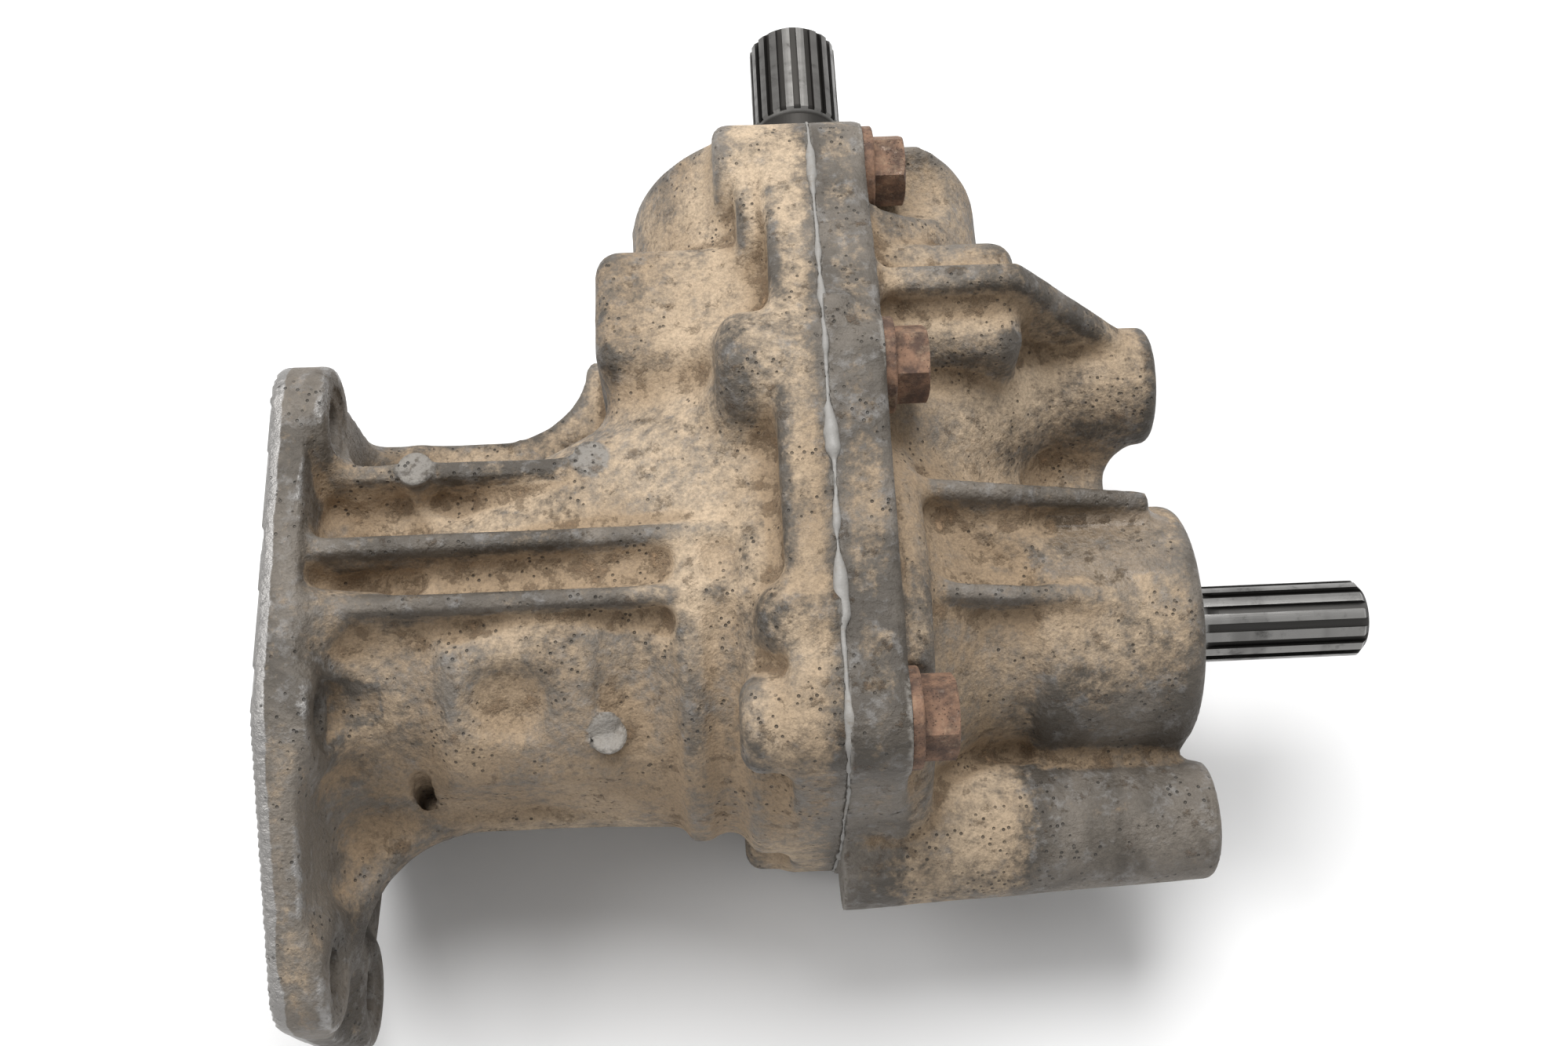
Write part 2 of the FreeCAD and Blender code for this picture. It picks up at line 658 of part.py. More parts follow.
def pinionShaft():
    """Pinion with its gear cut on the shaft, seats, seal land and output splines."""
    pitchAngle = math.atan2(pinionTeeth, ringTeeth)
    inner = [(pinionCollarR - 3.0, innerPinionBearingY - 3.0), (0.0, innerPinionBearingY - 3.0), (0.0, 24.0)]
    gear = bevelGear(pinionTeeth, pitchAngle, (1 + profileShift) * gearModule, profileShift, inner)
    gear.rotate(V(0, 0, 0), V(0, 0, 1), 180.0 / pinionTeeth)
    placed = gear.copy()
    placed.Placement = FreeCAD.Placement(V(partingX, 0, 0), FreeCAD.Rotation(V(-1, 0, 0), V(0, 0, 1), V(0, 1, 0), "ZXY")).multiply(placed.Placement)
    clipY = outerPinionBearingY + pinionBearingWide
    shaft = turnedY([
        (30.0, 0.0), (30.0, 9.0), (innerPinionBearingY - 4.0, pinionCollarR),
        (innerPinionBearingY, pinionCollarR), (innerPinionBearingY, pinionSeatR),
        (clipY + 3.0, pinionSeatR), (clipY + 3.5, pinionLandR), (pinionNeckY, pinionLandR),
        (pinionNeckY + 2.0, pinionNeckR), (pinionSplineY - 1.5, pinionNeckR),
        (pinionSplineY, pinionSplineR), (pinionTipY - 2.0, pinionSplineR),
        (pinionTipY, pinionSplineR - 2.2), (pinionTipY, 0.0),
    ])
    grooves = [toPinionAxis(g) for g in splineGrooves(
        19, pinionTipY, pinionSplineY - 1.0, pinionSplineR - 1.3, pinionSplineR, 2.5)]
    clip = turnedY([
        (clipY + runGap, pinionSeatR - 1.2), (clipY + runGap, pinionSeatR + 2.0),
        (clipY + 1.6, pinionSeatR + 2.0), (clipY + 1.6, pinionSeatR - 1.2),
    ])
    return fuseAll([placed, shaft]).cut(grooves + [clip])


def ballBearing(startX, wide, boreR, outerR, ballR, count):
    """Deep groove ball bearing along +X: inner race, outer race, balls and cage."""
    middle = startX + wide / 2
    pitchR = (boreR + outerR) / 2
    groove = Part.makeTorus(pitchR, ballR + ballGap, V(middle, 0, 0), V(1, 0, 0))
    innerLip = pitchR - ballR * 0.45
    outerLip = pitchR + ballR * 0.45
    end = startX + wide
    inner = cylinderX(startX, end, innerLip).cut([cylinderX(startX - 1, end + 1, boreR + seatGap), groove])
    outer = cylinderX(startX, end, outerR).cut([cylinderX(startX - 1, end + 1, outerLip), groove])
    ball = Part.makeSphere(ballR, V(middle, 0, pitchR))
    pocket = Part.makeSphere(ballR + ballGap, V(middle, 0, pitchR))
    balls = [spinX(ball, 360.0 * i / count) for i in range(count)]
    pockets = [spinX(pocket, 360.0 * i / count) for i in range(count)]
    cageHalf = ballR + 0.9
    cage = cylinderX(middle - cageHalf, middle + cageHalf, pitchR + ballR * 0.25)
    cage = cage.cut([cylinderX(startX - 1, end + 1, pitchR - ballR * 0.25)] + pockets)
    return {"inner_race": inner, "outer_race": outer, "balls": Part.makeCompound(balls), "cage": cage}


def oilSeal(startX, shaftR, seatR):
    """Lip seal along +X with its open side towards the oil at +X."""
    end = startX + sealWide
    return turnedX([
        (startX, shaftR + 1.6), (startX, seatR), (end, seatR), (end, seatR - 1.6),
        (startX + 1.8, seatR - 1.8), (startX + 1.8, shaftR + 2.2), (startX + 4.8, shaftR + 2.4),
        (startX + 4.6, shaftR + 0.8), (startX + 3.8, shaftR + runGap), (startX + 3.0, shaftR + 0.6),
    ])


def turnedAbout(shape, place):
    """Turns a shape end for end about a plane across X."""
    return shape.mirror(V(place, 0, 0), V(1, 0, 0))


def snapRing(startX, grooveR, outerR):
    """Open retaining ring in a shaft groove."""
    ring = cylinderX(startX + 2 * runGap, startX + 1.5, outerR).cut(
        cylinderX(startX - 1, startX + 3, grooveR))
    return ring.cut(block(startX - 1, startX + 3, -2.0, 2.0, 0.0, outerR + 5.0))


def hexPrism(startX, endX, across, y, z):
    cornerR = across / math.sqrt(3)
    corners = []
    for i in range(6):
        angle = math.radians(60.0 * i + 12.0)
        corners.append(V(startX, y + cornerR * math.cos(angle), z + cornerR * math.sin(angle)))
    return polygonFace(corners).extrude(V(endX - startX, 0, 0))


def hexHead(startX, endX, across, y, z):
    """Hexagonal head along X with its outer corners turned off to a cone."""
    prism = hexPrism(startX, endX, across, y, z)
    height = endX - startX
    cone = Part.makeCone(across / 2 + 2.0 * height, across / 2, height, V(startX, y, z), V(1, 0, 0))
    return prism.common(cone)


def caseBolt(y, z):
    """Hex bolt from the head down to its end in the tapped boss."""
    seat = rightRimX + boltWasherThick
    end = partingX - boltReach
    shank = cylinderX(end, seat + 1.0, boltR, y, z)
    head = hexHead(seat, seat + boltHeadHeight, boltHeadAcross, y, z)
    return shank.fuse(head).removeSplitter()


def boltWasher(y, z):
    disc = bossX(rightRimX, rightRimX + boltWasherThick, boltWasherR, y, z, 0.0, 0.6)
    return disc.cut(cylinderX(rightRimX - 1, rightRimX + 5, boltR + 0.15, y, z))


def oilPlug():
    """Plug along +X with its head at the origin plane and a hexagon socket in it."""
    body = cylinderX(-plugLength - plugWasherThick, 0.0, plugR - seatGap)
    head = bossX(0.0, plugHeadHeight, plugHeadR, 0.0, 0.0, 0.0, 1.0)
    socket = hexPrism(plugHeadHeight - 4.0, plugHeadHeight + 1.0, plugSocketAcross, 0.0, 0.0)
    return body.fuse(head).cut(socket)


def plugWasher():
    disc = cylinderX(-plugWasherThick, 0.0, plugHeadR + 1.0)
    return disc.cut(cylinderX(-5.0, 5.0, plugR + 0.1))


def atDrain(shape):
    moved = shape.copy()
    moved.translate(V(drainFaceX + plugWasherThick, drainY, drainZ))
    return moved


def atFiller(shape):
    moved = shape.copy()
    moved.rotate(V(0, 0, 0), V(0, 1, 0), 90)
    moved.translate(V(fillX, fillY, -fillFaceZ - plugWasherThick))
    return moved


def save(shape, name):
    shape.exportStep("parts/" + name + ".step")
    print(name, "valid" if shape.isValid() else "INVALID", len(shape.Solids), round(shape.Volume, 1))


save(caseLeft(), "case_left")
save(caseRight(), "case_right")
save(mainShaft(), "main_shaft")
save(ringGear(), "ring_gear")
save(pinionShaft(), "pinion_shaft")

bearings = {
    "main_left": ballBearing(leftBearingX, leftBearingWide, mainSeatR, leftBearingR, 3.6, 11),
    "main_right": ballBearing(rightBearingX, rightBearingWide, outSeatR, rightBearingR, 3.2, 9),
    "pinion_inner": ballBearing(innerPinionBearingY, pinionBearingWide, pinionSeatR, pinionBearingR, 3.9, 9),
    "pinion_outer": ballBearing(outerPinionBearingY, pinionBearingWide, pinionSeatR, pinionBearingR, 3.9, 9),
}
for place, pieces in bearings.items():
    for kind, shape in pieces.items():
        if place.startswith("pinion"):
            shape = toPinionAxis(shape)
        save(shape, place + "_" + kind)

save(oilSeal(inputSealX, inputLandR, inputSealR), "input_oil_seal")
outSeal = turnedAbout(oilSeal(outSealX, outLandR, outSealR), outSealX + sealWide / 2)
save(outSeal, "output_oil_seal")
pinionSeal = turnedAbout(oilSeal(pinionSealY, pinionLandR, pinionSealR), pinionSealY + sealWide / 2)
save(toPinionAxis(pinionSeal), "pinion_oil_seal")

shim = cylinderX(leftBearingX + leftBearingWide, ringBackX, collarR + 1.0).cut(
    cylinderX(0, 200, mainSeatR + seatGap))
save(shim, "ring_gear_spacer")
save(snapRing(ringHubEndX, mainSeatR - 1.1, mainSeatR + 1.8), "ring_gear_snap_ring")
clipY = outerPinionBearingY + pinionBearingWide
save(toPinionAxis(snapRing(clipY, pinionSeatR - 1.1, pinionSeatR + 1.8)), "pinion_snap_ring")
sleeve = cylinderX(innerPinionBearingY + pinionBearingWide, outerPinionBearingY, pinionCollarR).cut(
    cylinderX(0, 200, pinionSeatR + seatGap))
save(toPinionAxis(sleeve), "pinion_spacer")

sealant = beltPlate(rimCircles(0.3), partingX - sealantThick / 2, partingX + sealantThick / 2)
holes = [cylinderX(100, 120, boltR + boltGap, y, z) for y, z in caseBolts]
holes += [cylinderX(100, 120, dowelR + boltGap, y, z) for y, z in dowels]
save(sealant.cut([gearCavity(), pinionCavity()] + holes), "sealant_layer")
save(Part.makeCompound([caseBolt(y, z) for y, z in caseBolts]), "case_bolts")
save(Part.makeCompound([boltWasher(y, z) for y, z in caseBolts]), "case_bolt_washers")
pins = [cylinderX(partingX - dowelLength / 2 + 0.5, partingX + dowelLength / 2 - 0.5, dowelR, y, z) for y, z in dowels]
save(Part.makeCompound(pins), "dowel_pins")

save(atDrain(oilPlug()), "drain_plug")
save(atDrain(plugWasher()), "drain_plug_washer")
save(atFiller(oilPlug()), "fill_plug")
save(atFiller(plugWasher()), "fill_plug_washer")
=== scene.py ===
import json
import math
import bpy
import numpy as np
import openvdb
from mathutils import Matrix, Vector


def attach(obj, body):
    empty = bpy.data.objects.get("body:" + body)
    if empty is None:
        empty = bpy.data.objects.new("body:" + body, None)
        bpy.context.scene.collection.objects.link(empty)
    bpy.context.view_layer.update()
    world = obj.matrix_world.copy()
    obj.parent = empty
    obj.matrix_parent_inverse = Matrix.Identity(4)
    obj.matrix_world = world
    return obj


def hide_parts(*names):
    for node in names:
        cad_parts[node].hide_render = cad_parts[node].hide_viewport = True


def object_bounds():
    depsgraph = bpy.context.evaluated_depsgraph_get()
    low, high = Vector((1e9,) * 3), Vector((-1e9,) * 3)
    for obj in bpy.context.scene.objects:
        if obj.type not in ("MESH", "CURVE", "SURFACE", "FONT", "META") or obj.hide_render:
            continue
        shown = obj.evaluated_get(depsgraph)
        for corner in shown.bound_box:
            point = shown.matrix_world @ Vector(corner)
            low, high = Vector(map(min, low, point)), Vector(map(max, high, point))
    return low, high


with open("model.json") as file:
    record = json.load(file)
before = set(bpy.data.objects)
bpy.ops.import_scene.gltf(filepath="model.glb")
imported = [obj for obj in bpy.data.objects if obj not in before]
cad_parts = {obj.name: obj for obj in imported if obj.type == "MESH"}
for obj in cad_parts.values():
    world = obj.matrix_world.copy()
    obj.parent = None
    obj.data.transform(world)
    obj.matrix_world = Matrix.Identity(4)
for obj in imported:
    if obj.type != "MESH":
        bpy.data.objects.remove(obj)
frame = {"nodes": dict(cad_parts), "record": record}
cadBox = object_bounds()
nodes = frame["nodes"]
print("frame loaded:", len(nodes), "nodes")


# Small helpers for shader trees

def addNode(tree, kind, inputs=None, **settings):
    made = tree.nodes.new(kind)
    for key, value in settings.items():
        setattr(made, key, value)
    plugAll(tree, made, inputs or {})
    return made


def plug(tree, value, socket):
    if isinstance(value, bpy.types.NodeSocket):
        tree.links.new(value, socket)
    elif socket.type == "RGBA" and len(value) == 3:
        socket.default_value = (*value, 1.0)
    else:
        socket.default_value = value


def plugAll(tree, node, inputs):
    for key, value in inputs.items():
        plug(tree, value, node.inputs[key])


def calc(tree, operation, a, b):
    return addNode(tree, "ShaderNodeMath", {0: a, 1: b}, operation=operation).outputs[0]


def times(tree, a, b):
    return calc(tree, "MULTIPLY", a, b)


def remaining(tree, value):
    return calc(tree, "SUBTRACT", 1.0, value)


def swing(tree, value, weight):
    # a noise brought to zero in the middle, then weighted
    return times(tree, calc(tree, "SUBTRACT", value, 0.5), weight)


def addUp(tree, *terms):
    total = terms[0]
    for term in terms[1:]:
        total = calc(tree, "ADD", total, term)
    return total


def vectorCalc(tree, operation, a, b):
    return addNode(tree, "ShaderNodeVectorMath", {0: a, 1: b}, operation=operation).outputs


def spread(tree, value, low, high, toLow=0.0, toHigh=1.0):
    # a soft step between two levels
    made = addNode(tree, "ShaderNodeMapRange", {
        "Value": value, "From Min": low, "From Max": high, "To Min": toLow, "To Max": toHigh,
    }, interpolation_type="SMOOTHSTEP")
    return made.outputs["Result"]


def noise(tree, place, scale, detail, rough, warp=0.0):
    made = addNode(tree, "ShaderNodeTexNoise", {
        "Vector": place, "Scale": scale, "Detail": detail, "Roughness": rough, "Distortion": warp,
    })
    return made.outputs[0]


def patches(tree, place, v):
    # a noise cut to soft patches between its two levels
    return spread(tree, noise(tree, place, *v["noise"]), *v["levels"])


def blendColour(tree, share, a, b):
    made = addNode(tree, "ShaderNodeMix", data_type="RGBA")
    plug(tree, share, made.inputs[0])
    plug(tree, a, made.inputs[6])
    plug(tree, b, made.inputs[7])
    return made.outputs[2]


def blendValue(tree, share, a, b):
    made = addNode(tree, "ShaderNodeMix", data_type="FLOAT")
    plug(tree, share, made.inputs[0])
    plug(tree, a, made.inputs[2])
    plug(tree, b, made.inputs[3])
    return made.outputs[0]


def readAttribute(tree, name):
    return addNode(tree, "ShaderNodeAttribute", attribute_name=name).outputs["Fac"]


def objectPlace(tree):
    return addNode(tree, "ShaderNodeTexCoord").outputs["Object"]


def splitPlace(tree, place):
    made = addNode(tree, "ShaderNodeSeparateXYZ", {0: place})
    return made.outputs[0], made.outputs[1], made.outputs[2]


def startMaterial(name):
    material = bpy.data.materials.new(name)
    material.use_nodes = True
    tree = material.node_tree
    tree.nodes.clear()
    shader = tree.nodes.new("ShaderNodeBsdfPrincipled")
    out = tree.nodes.new("ShaderNodeOutputMaterial")
    tree.links.new(shader.outputs[0], out.inputs[0])
    return material, tree, shader


def startGroup(name, inputs, outputs):
    tree = bpy.data.node_groups.new(name, "ShaderNodeTree")
    for label, kind, value in inputs:
        socket = tree.interface.new_socket(label, in_out="INPUT", socket_type=kind)
        if value is not None:
            socket.default_value = value
    for label in outputs:
        tree.interface.new_socket(label, in_out="OUTPUT", socket_type="NodeSocketFloat")
    given = tree.nodes.new("NodeGroupInput").outputs
    return tree, given, tree.nodes.new("NodeGroupOutput").inputs


def useGroup(tree, group, inputs):
    made = tree.nodes.new("ShaderNodeGroup")
    made.node_tree = group
    plugAll(tree, made, inputs)
    return made.outputs


def bump(tree, height):
    # heights are in metres, so the distance stays one
    made = addNode(tree, "ShaderNodeBump", {"Height": height, "Distance": 1.0, "Strength": 1.0})
    return made.outputs[0]


# Effects that several finishes share

number = "NodeSocketFloat"
grainShape = {
    "lumpNoise": (5.0, 0.62),
    "poreLevels": (0.24, 0.12),
    "patchNoise": (95.0, 3.0, 0.6),
    "patchLevel": 0.78,
    "patchSoft": 0.14,
    "poreDepth": 0.75,
}


def grainGroup(v):
    # fine lumps of sand-cast skin, with open pores
    tree, given, result = startGroup("castGrain", [
        ("Place", "NodeSocketVector", None), ("Lumps", number, 420.0),
        ("Pore Size", number, 700.0), ("Pore Share", number, 0.3),
    ], ["Height", "Pores"])
    place = given["Place"]
    lumps = noise(tree, place, given["Lumps"], *v["lumpNoise"])
    cells = addNode(tree, "ShaderNodeTexVoronoi", {"Vector": place, "Scale": given["Pore Size"]})
    dots = spread(tree, cells.outputs["Distance"], *v["poreLevels"])
    level = calc(tree, "SUBTRACT", v["patchLevel"], given["Pore Share"])
    here = spread(
        tree, noise(tree, place, *v["patchNoise"]), level, calc(tree, "ADD", level, v["patchSoft"]))
    pores = times(tree, dots, here)
    plug(tree, pores, result["Pores"])
    plug(tree, calc(tree, "SUBTRACT", lumps, times(tree, pores, v["poreDepth"])), result["Height"])
    return tree


dustShape = {
    "wideNoise": (6.0, 0.66, 0.4),
    "wideWeight": 1.7,
    "smallScale": 11.0,
    "smallNoise": (6.0, 0.7),
    "smallWeight": 1.5,
    "upwardWeight": 0.26,
    "hollowWeight": 0.55,
    "edgeWeight": -0.40,
    "coverLevels": (0.10, 0.86),
    "clumpNoise": (210.0, 7.0, 0.72),
    "clumpHollow": 0.10,
    "clumpLevels": (0.57, 0.78),
    "toneNoise": (16.0, 4.0, 0.6),
}


def dustGroup(v):
    # dry dust that keeps off rubbed edges, fills hollows and breaks up in grains
    tree, given, result = startGroup("dryDust", [
        ("Place", "NodeSocketVector", None), ("Amount", number, 0.5), ("Upward", number, 0.5),
        ("Hollow", number, 0.0), ("Edge", number, 0.0), ("Patch", number, 38.0),
    ], ["Cover", "Clumps", "Tone"])
    place = given["Place"]
    wide = noise(tree, place, given["Patch"], *v["wideNoise"])
    small = noise(tree, place, times(tree, given["Patch"], v["smallScale"]), *v["smallNoise"])
    total = addUp(
        tree,
        swing(tree, wide, v["wideWeight"]),
        swing(tree, small, v["smallWeight"]),
        times(tree, given["Upward"], v["upwardWeight"]),
        times(tree, given["Hollow"], v["hollowWeight"]),
        times(tree, given["Edge"], v["edgeWeight"]),
        given["Amount"],
    )
    plug(tree, spread(tree, total, *v["coverLevels"]), result["Cover"])
    clumps = noise(tree, place, *v["clumpNoise"])
    clumps = calc(tree, "ADD", clumps, times(tree, given["Hollow"], v["clumpHollow"]))
    plug(tree, spread(tree, clumps, *v["clumpLevels"]), result["Clumps"])
    plug(tree, noise(tree, place, *v["toneNoise"]), result["Tone"])
    return tree


rubShape = {
    "noise": (130.0, 6.0, 0.7),
    "weight": 1.7,
    "levels": (0.86, 1.16),
}


def rubGroup(v):
    # bare metal where an edge has been knocked or rubbed
    tree, given, result = startGroup("rubbedMetal", [
        ("Place", "NodeSocketVector", None), ("Edge", number, 0.0), ("Amount", number, 0.5),
    ], ["Bare"])
    broken = noise(tree, given["Place"], *v["noise"])
    total = addUp(tree, given["Edge"], given["Amount"], swing(tree, broken, v["weight"]))
    plug(tree, spread(tree, total, *v["levels"]), result["Bare"])
    return tree


def scratchGroup():
    # hair-fine lines along one axis, from noise drawn out by the stretch
    tree, given, result = startGroup("fineScratches", [
        ("Place", "NodeSocketVector", None), ("Stretch", "NodeSocketVector", (1.0, 1.0, 1.0)),
        ("Scale", number, 900.0),
    ], ["Lines"])
    drawn = vectorCalc(tree, "MULTIPLY", given["Place"], given["Stretch"])[0]
    plug(tree, noise(tree, drawn, given["Scale"], 3.0, 0.6), result["Lines"])
    return tree


castGrain = grainGroup(grainShape)
dryDust = dustGroup(dustShape)
rubbedMetal = rubGroup(rubShape)
fineScratches = scratchGroup()
print("shared effects ready")


# Finish of the castings; zones are places in metres, from none of it to all of it

castFinish = {
    "metal": (0.28, 0.272, 0.264),
    "oxide": (0.185, 0.160, 0.132),
    "grime": (0.058, 0.048, 0.037),
    "dust": (0.62, 0.480, 0.335),
    "dustDeepAndShade": (0.36, 0.260, 0.165),
    "clump": (0.40, 0.255, 0.145),
    "pad": (0.285, 0.265, 0.238),
    "pore": (0.03, 0.026, 0.022),
    "oil": (0.075, 0.058, 0.040),
    "grain": {"Lumps": 520.0, "Pore Size": 620.0, "Pore Share": 0.30},
    "grainDepth": 0.0008,
    "clumpDepth": 0.0007,
    "dustDepth": 0.00012,
    "patchScale": 42.0,
    "dustAmount": 0.33,
    "flangeDust": -0.42,
    # less dust and painted shade on the neck's lower side
    "neckLowDustAndShade": -0.62,
    "rightRimDust": -0.34,
    "leftLowDust": 0.22,
    "machinedDust": -0.35,
    "pocketDust": 0.25,
    "flangeZone": (0.018, 0.009),
    "lowSideZone": (-0.012, 0.028),
    "neckZone": (0.140, 0.152),
    "rimStart": (0.1080, 0.1085),
    "rimEnd": (0.1215, 0.1195),
    "leftLowZone": (-0.022, -0.034),
    "leftLowStart": (0.014, 0.026),
    "leftLowEnd": (0.105, 0.095),
    "faceZone": (0.0042, 0.0018),
    "padZone": (0.0205, 0.0225),
    "edgeRub": 0.35,
    "flangeEdgeRub": 0.5,
    "rub": 0.18,
    "faceRub": 0.75,
    "machinedRub": 0.12,
    "stain": {"noise": (26.0, 5.0, 0.62, 0.5), "levels": (0.38, 0.62)},
    "shine": {"noise": (260.0, 5.0, 0.7), "levels": (0.5, 0.7)},
    "shineShare": 0.5,
    # painted shade: how much hollows and pockets darken the dust colour
    "hollowPaintedShade": 0.14,
    "pocketDepth": 0.12,
    "toneAndShadeLevels": (0.35, 0.68),
    "grit": {"noise": (700.0, 4.0, 0.7), "levels": (0.55, 0.72)},
    "gritShare": 0.35,
    "bareCover": 0.8,
    "coverShare": 0.93,
    "speck": {"noise": (1500.0, 3.0, 0.75), "levels": (0.36, 0.66)},
    "speckShare": 0.30,
    "bareShare": 0.85,
    "padPatch": {"noise": (420.0, 4.0, 0.65), "levels": (0.36, 0.52)},
    "padShare": 0.7,
    "clumpShare": 0.50,
    "poreShare": 0.75,
    "oilPlace": (0.164, 0.010, 0.021),
    "oilReach": 0.014,
    "oilNoise": (120.0, 4.0, 0.6),
    "oilWobble": 0.03,
    "oilEdge": 0.82,
    "oilShare": 0.55,
    "oilRough": 0.36,
    "oilCoat": 0.12,
    "roughPlain": 0.62,
    "roughBare": 0.42,
    "roughDust": 0.93,
}


def castMaterial(v):
    material, tree, shader = startMaterial("dustyCastAluminium")
    place = objectPlace(tree)
    x, y, z = splitPlace(tree, place)
    hollow, edge, upward, machined, pocket = [
        readAttribute(tree, name) for name in ("hollow", "edge", "upward", "machined", "pocket")]
    grain = useGroup(tree, castGrain, {"Place": place, **v["grain"]})
    # the flange and the right rim have lost most of their dust; the neck's lower side has less dust
    # and is darkened further as painted shade
    flange = spread(tree, x, *v["flangeZone"])
    lowSide = spread(tree, calc(tree, "SUBTRACT", times(tree, y, -1.0), z), *v["lowSideZone"])
    neckLow = times(tree, lowSide, spread(tree, x, *v["neckZone"]))
    rightRim = times(tree, spread(tree, x, *v["rimStart"]), spread(tree, x, *v["rimEnd"]))
    leftLow = times(tree, spread(tree, y, *v["leftLowZone"]), times(
        tree, spread(tree, x, *v["leftLowEnd"]), spread(tree, x, *v["leftLowStart"])))
    # dust amount; the neck's lower side is lowered also to paint shade there
    amount = addUp(
        tree, v["dustAmount"],
        times(tree, flange, v["flangeDust"]),
        times(tree, neckLow, v["neckLowDustAndShade"]),
        times(tree, rightRim, v["rightRimDust"]),
        times(tree, leftLow, v["leftLowDust"]),
        times(tree, machined, v["machinedDust"]),
        times(tree, pocket, v["pocketDust"]),
    )
    dust = useGroup(tree, dryDust, {
        "Place": place, "Amount": amount, "Upward": upward, "Hollow": hollow, "Edge": edge,
        "Patch": v["patchScale"],
    })
    edgeRub = calc(tree, "ADD", v["edgeRub"], times(tree, flange, v["flangeEdgeRub"]))
    bare = useGroup(tree, rubbedMetal, {
        "Place": place,
        "Edge": times(tree, edge, edgeRub),
        "Amount": addUp(
            tree, v["rub"],
            times(tree, spread(tree, x, *v["faceZone"]), v["faceRub"]),
            times(tree, machined, v["machinedRub"])),
    })["Bare"]
    # dark oxide with darker grime in patches under the dust
    under = blendColour(tree, patches(tree, place, v["stain"]), v["grime"], v["oxide"])
    shine = times(tree, patches(tree, place, v["shine"]), v["shineShare"])
    under = blendColour(tree, shine, under, v["metal"])
    # dust tone varies at random; in hollows and pockets it is darkened further as painted shade
    depth = addUp(
        tree, dust["Tone"],
        times(tree, hollow, v["hollowPaintedShade"]), times(tree, pocket, v["pocketDepth"]))
    dustWithShade = blendColour(tree, spread(tree, depth, *v["toneAndShadeLevels"]), v["dust"], v["dustDeepAndShade"])
    grit = times(tree, patches(tree, place, v["grit"]), v["gritShare"])
    dustWithShade = blendColour(tree, grit, dustWithShade, v["grime"])
    cover = times(tree, dust["Cover"], remaining(tree, times(tree, bare, v["bareCover"])))
    colour = blendColour(tree, times(tree, cover, v["coverShare"]), under, dustWithShade)
    specks = times(tree, patches(tree, place, v["speck"]), v["speckShare"])
    colour = blendColour(tree, specks, colour, v["grime"])
    colour = blendColour(tree, times(tree, bare, v["bareShare"]), colour, v["metal"])
    # lighter cut metal on the pads and machined ends
    padHere = times(tree, machined, times(
        tree, spread(tree, x, *v["padZone"]), patches(tree, place, v["padPatch"])))
    colour = blendColour(tree, times(tree, padHere, v["padShare"]), colour, v["pad"])
    clumps = times(tree, dust["Clumps"], remaining(tree, flange))
    colour = blendColour(tree, times(tree, clumps, v["clumpShare"]), colour, v["clump"])
    colour = blendColour(tree, times(tree, grain["Pores"], v["poreShare"]), colour, v["pore"])
    # an oily run on the output neck, wet and darker
    away = vectorCalc(tree, "DISTANCE", place, v["oilPlace"])["Value"]
    away = calc(tree, "ADD", away, swing(tree, noise(tree, place, *v["oilNoise"]), v["oilWobble"]))
    wet = spread(tree, away, v["oilReach"], v["oilReach"] * v["oilEdge"])
    colour = blendColour(tree, times(tree, wet, v["oilShare"]), colour, v["oil"])
    rough = blendValue(tree, bare, v["roughPlain"], v["roughBare"])
    rough = blendValue(tree, cover, rough, v["roughDust"])
    height = addUp(
        tree,
        times(tree, grain["Height"], v["grainDepth"]),
        times(tree, clumps, v["clumpDepth"]),
        times(tree, dust["Cover"], v["dustDepth"]),
    )
    plugAll(tree, shader, {
        "Base Color": colour,
        "Metallic": times(tree, bare, v["bareShare"]),
        "Roughness": blendValue(tree, wet, rough, v["oilRough"]),
        "Coat Weight": times(tree, wet, v["oilCoat"]),
        "Normal": bump(tree, height),
    })
    return material


# Finishes of the steel, rubber and sealant pieces

steelFinish = {
    "mainSpline": {"clean": (0.215, 0.211, 0.204), "dark": (0.012, 0.011, 0.010), "rough": 0.27},
    "pinionSpline": {"clean": (0.155, 0.150, 0.143), "dark": (0.018, 0.016, 0.014), "rough": 0.33},
    "gear": {"clean": (0.40, 0.395, 0.385), "dark": (0.07, 0.06, 0.05), "rough": 0.32},
    "bearing": {"clean": (0.62, 0.62, 0.61), "dark": (0.16, 0.15, 0.14), "rough": 0.16},
    "plain": {"clean": (0.45, 0.44, 0.42), "dark": (0.11, 0.10, 0.09), "rough": 0.38},
    "plug": {"clean": (0.40, 0.385, 0.36), "dark": (0.12, 0.09, 0.065), "rough": 0.42},
}
steelWear = {
    "lineScale": 1400.0,
    "stain": {"noise": (180.0, 5.0, 0.65), "levels": (0.50, 0.72)},
    "stainShare": 0.7,
    "lineRough": 0.16,
    "stainRough": 0.2,
    "lineDepth": 0.00002,
}


def steelMaterial(name, v, wear):
    material, tree, shader = startMaterial(name)
    place = objectPlace(tree)
    lines = useGroup(tree, fineScratches, {"Place": place, "Scale": wear["lineScale"]})["Lines"]
    stain = patches(tree, place, wear["stain"])
    colour = blendColour(tree, times(tree, stain, wear["stainShare"]), v["clean"], v["dark"])
    rough = addUp(
        tree, v["rough"],
        times(tree, lines, wear["lineRough"]), times(tree, stain, wear["stainRough"]))
    plugAll(tree, shader, {
        "Base Color": colour, "Metallic": 1.0, "Roughness": rough,
        "Normal": bump(tree, times(tree, lines, wear["lineDepth"])),
    })
    return material


# Each shaft: a point on its axis, the directions across it and along it, its crest radius, its bands

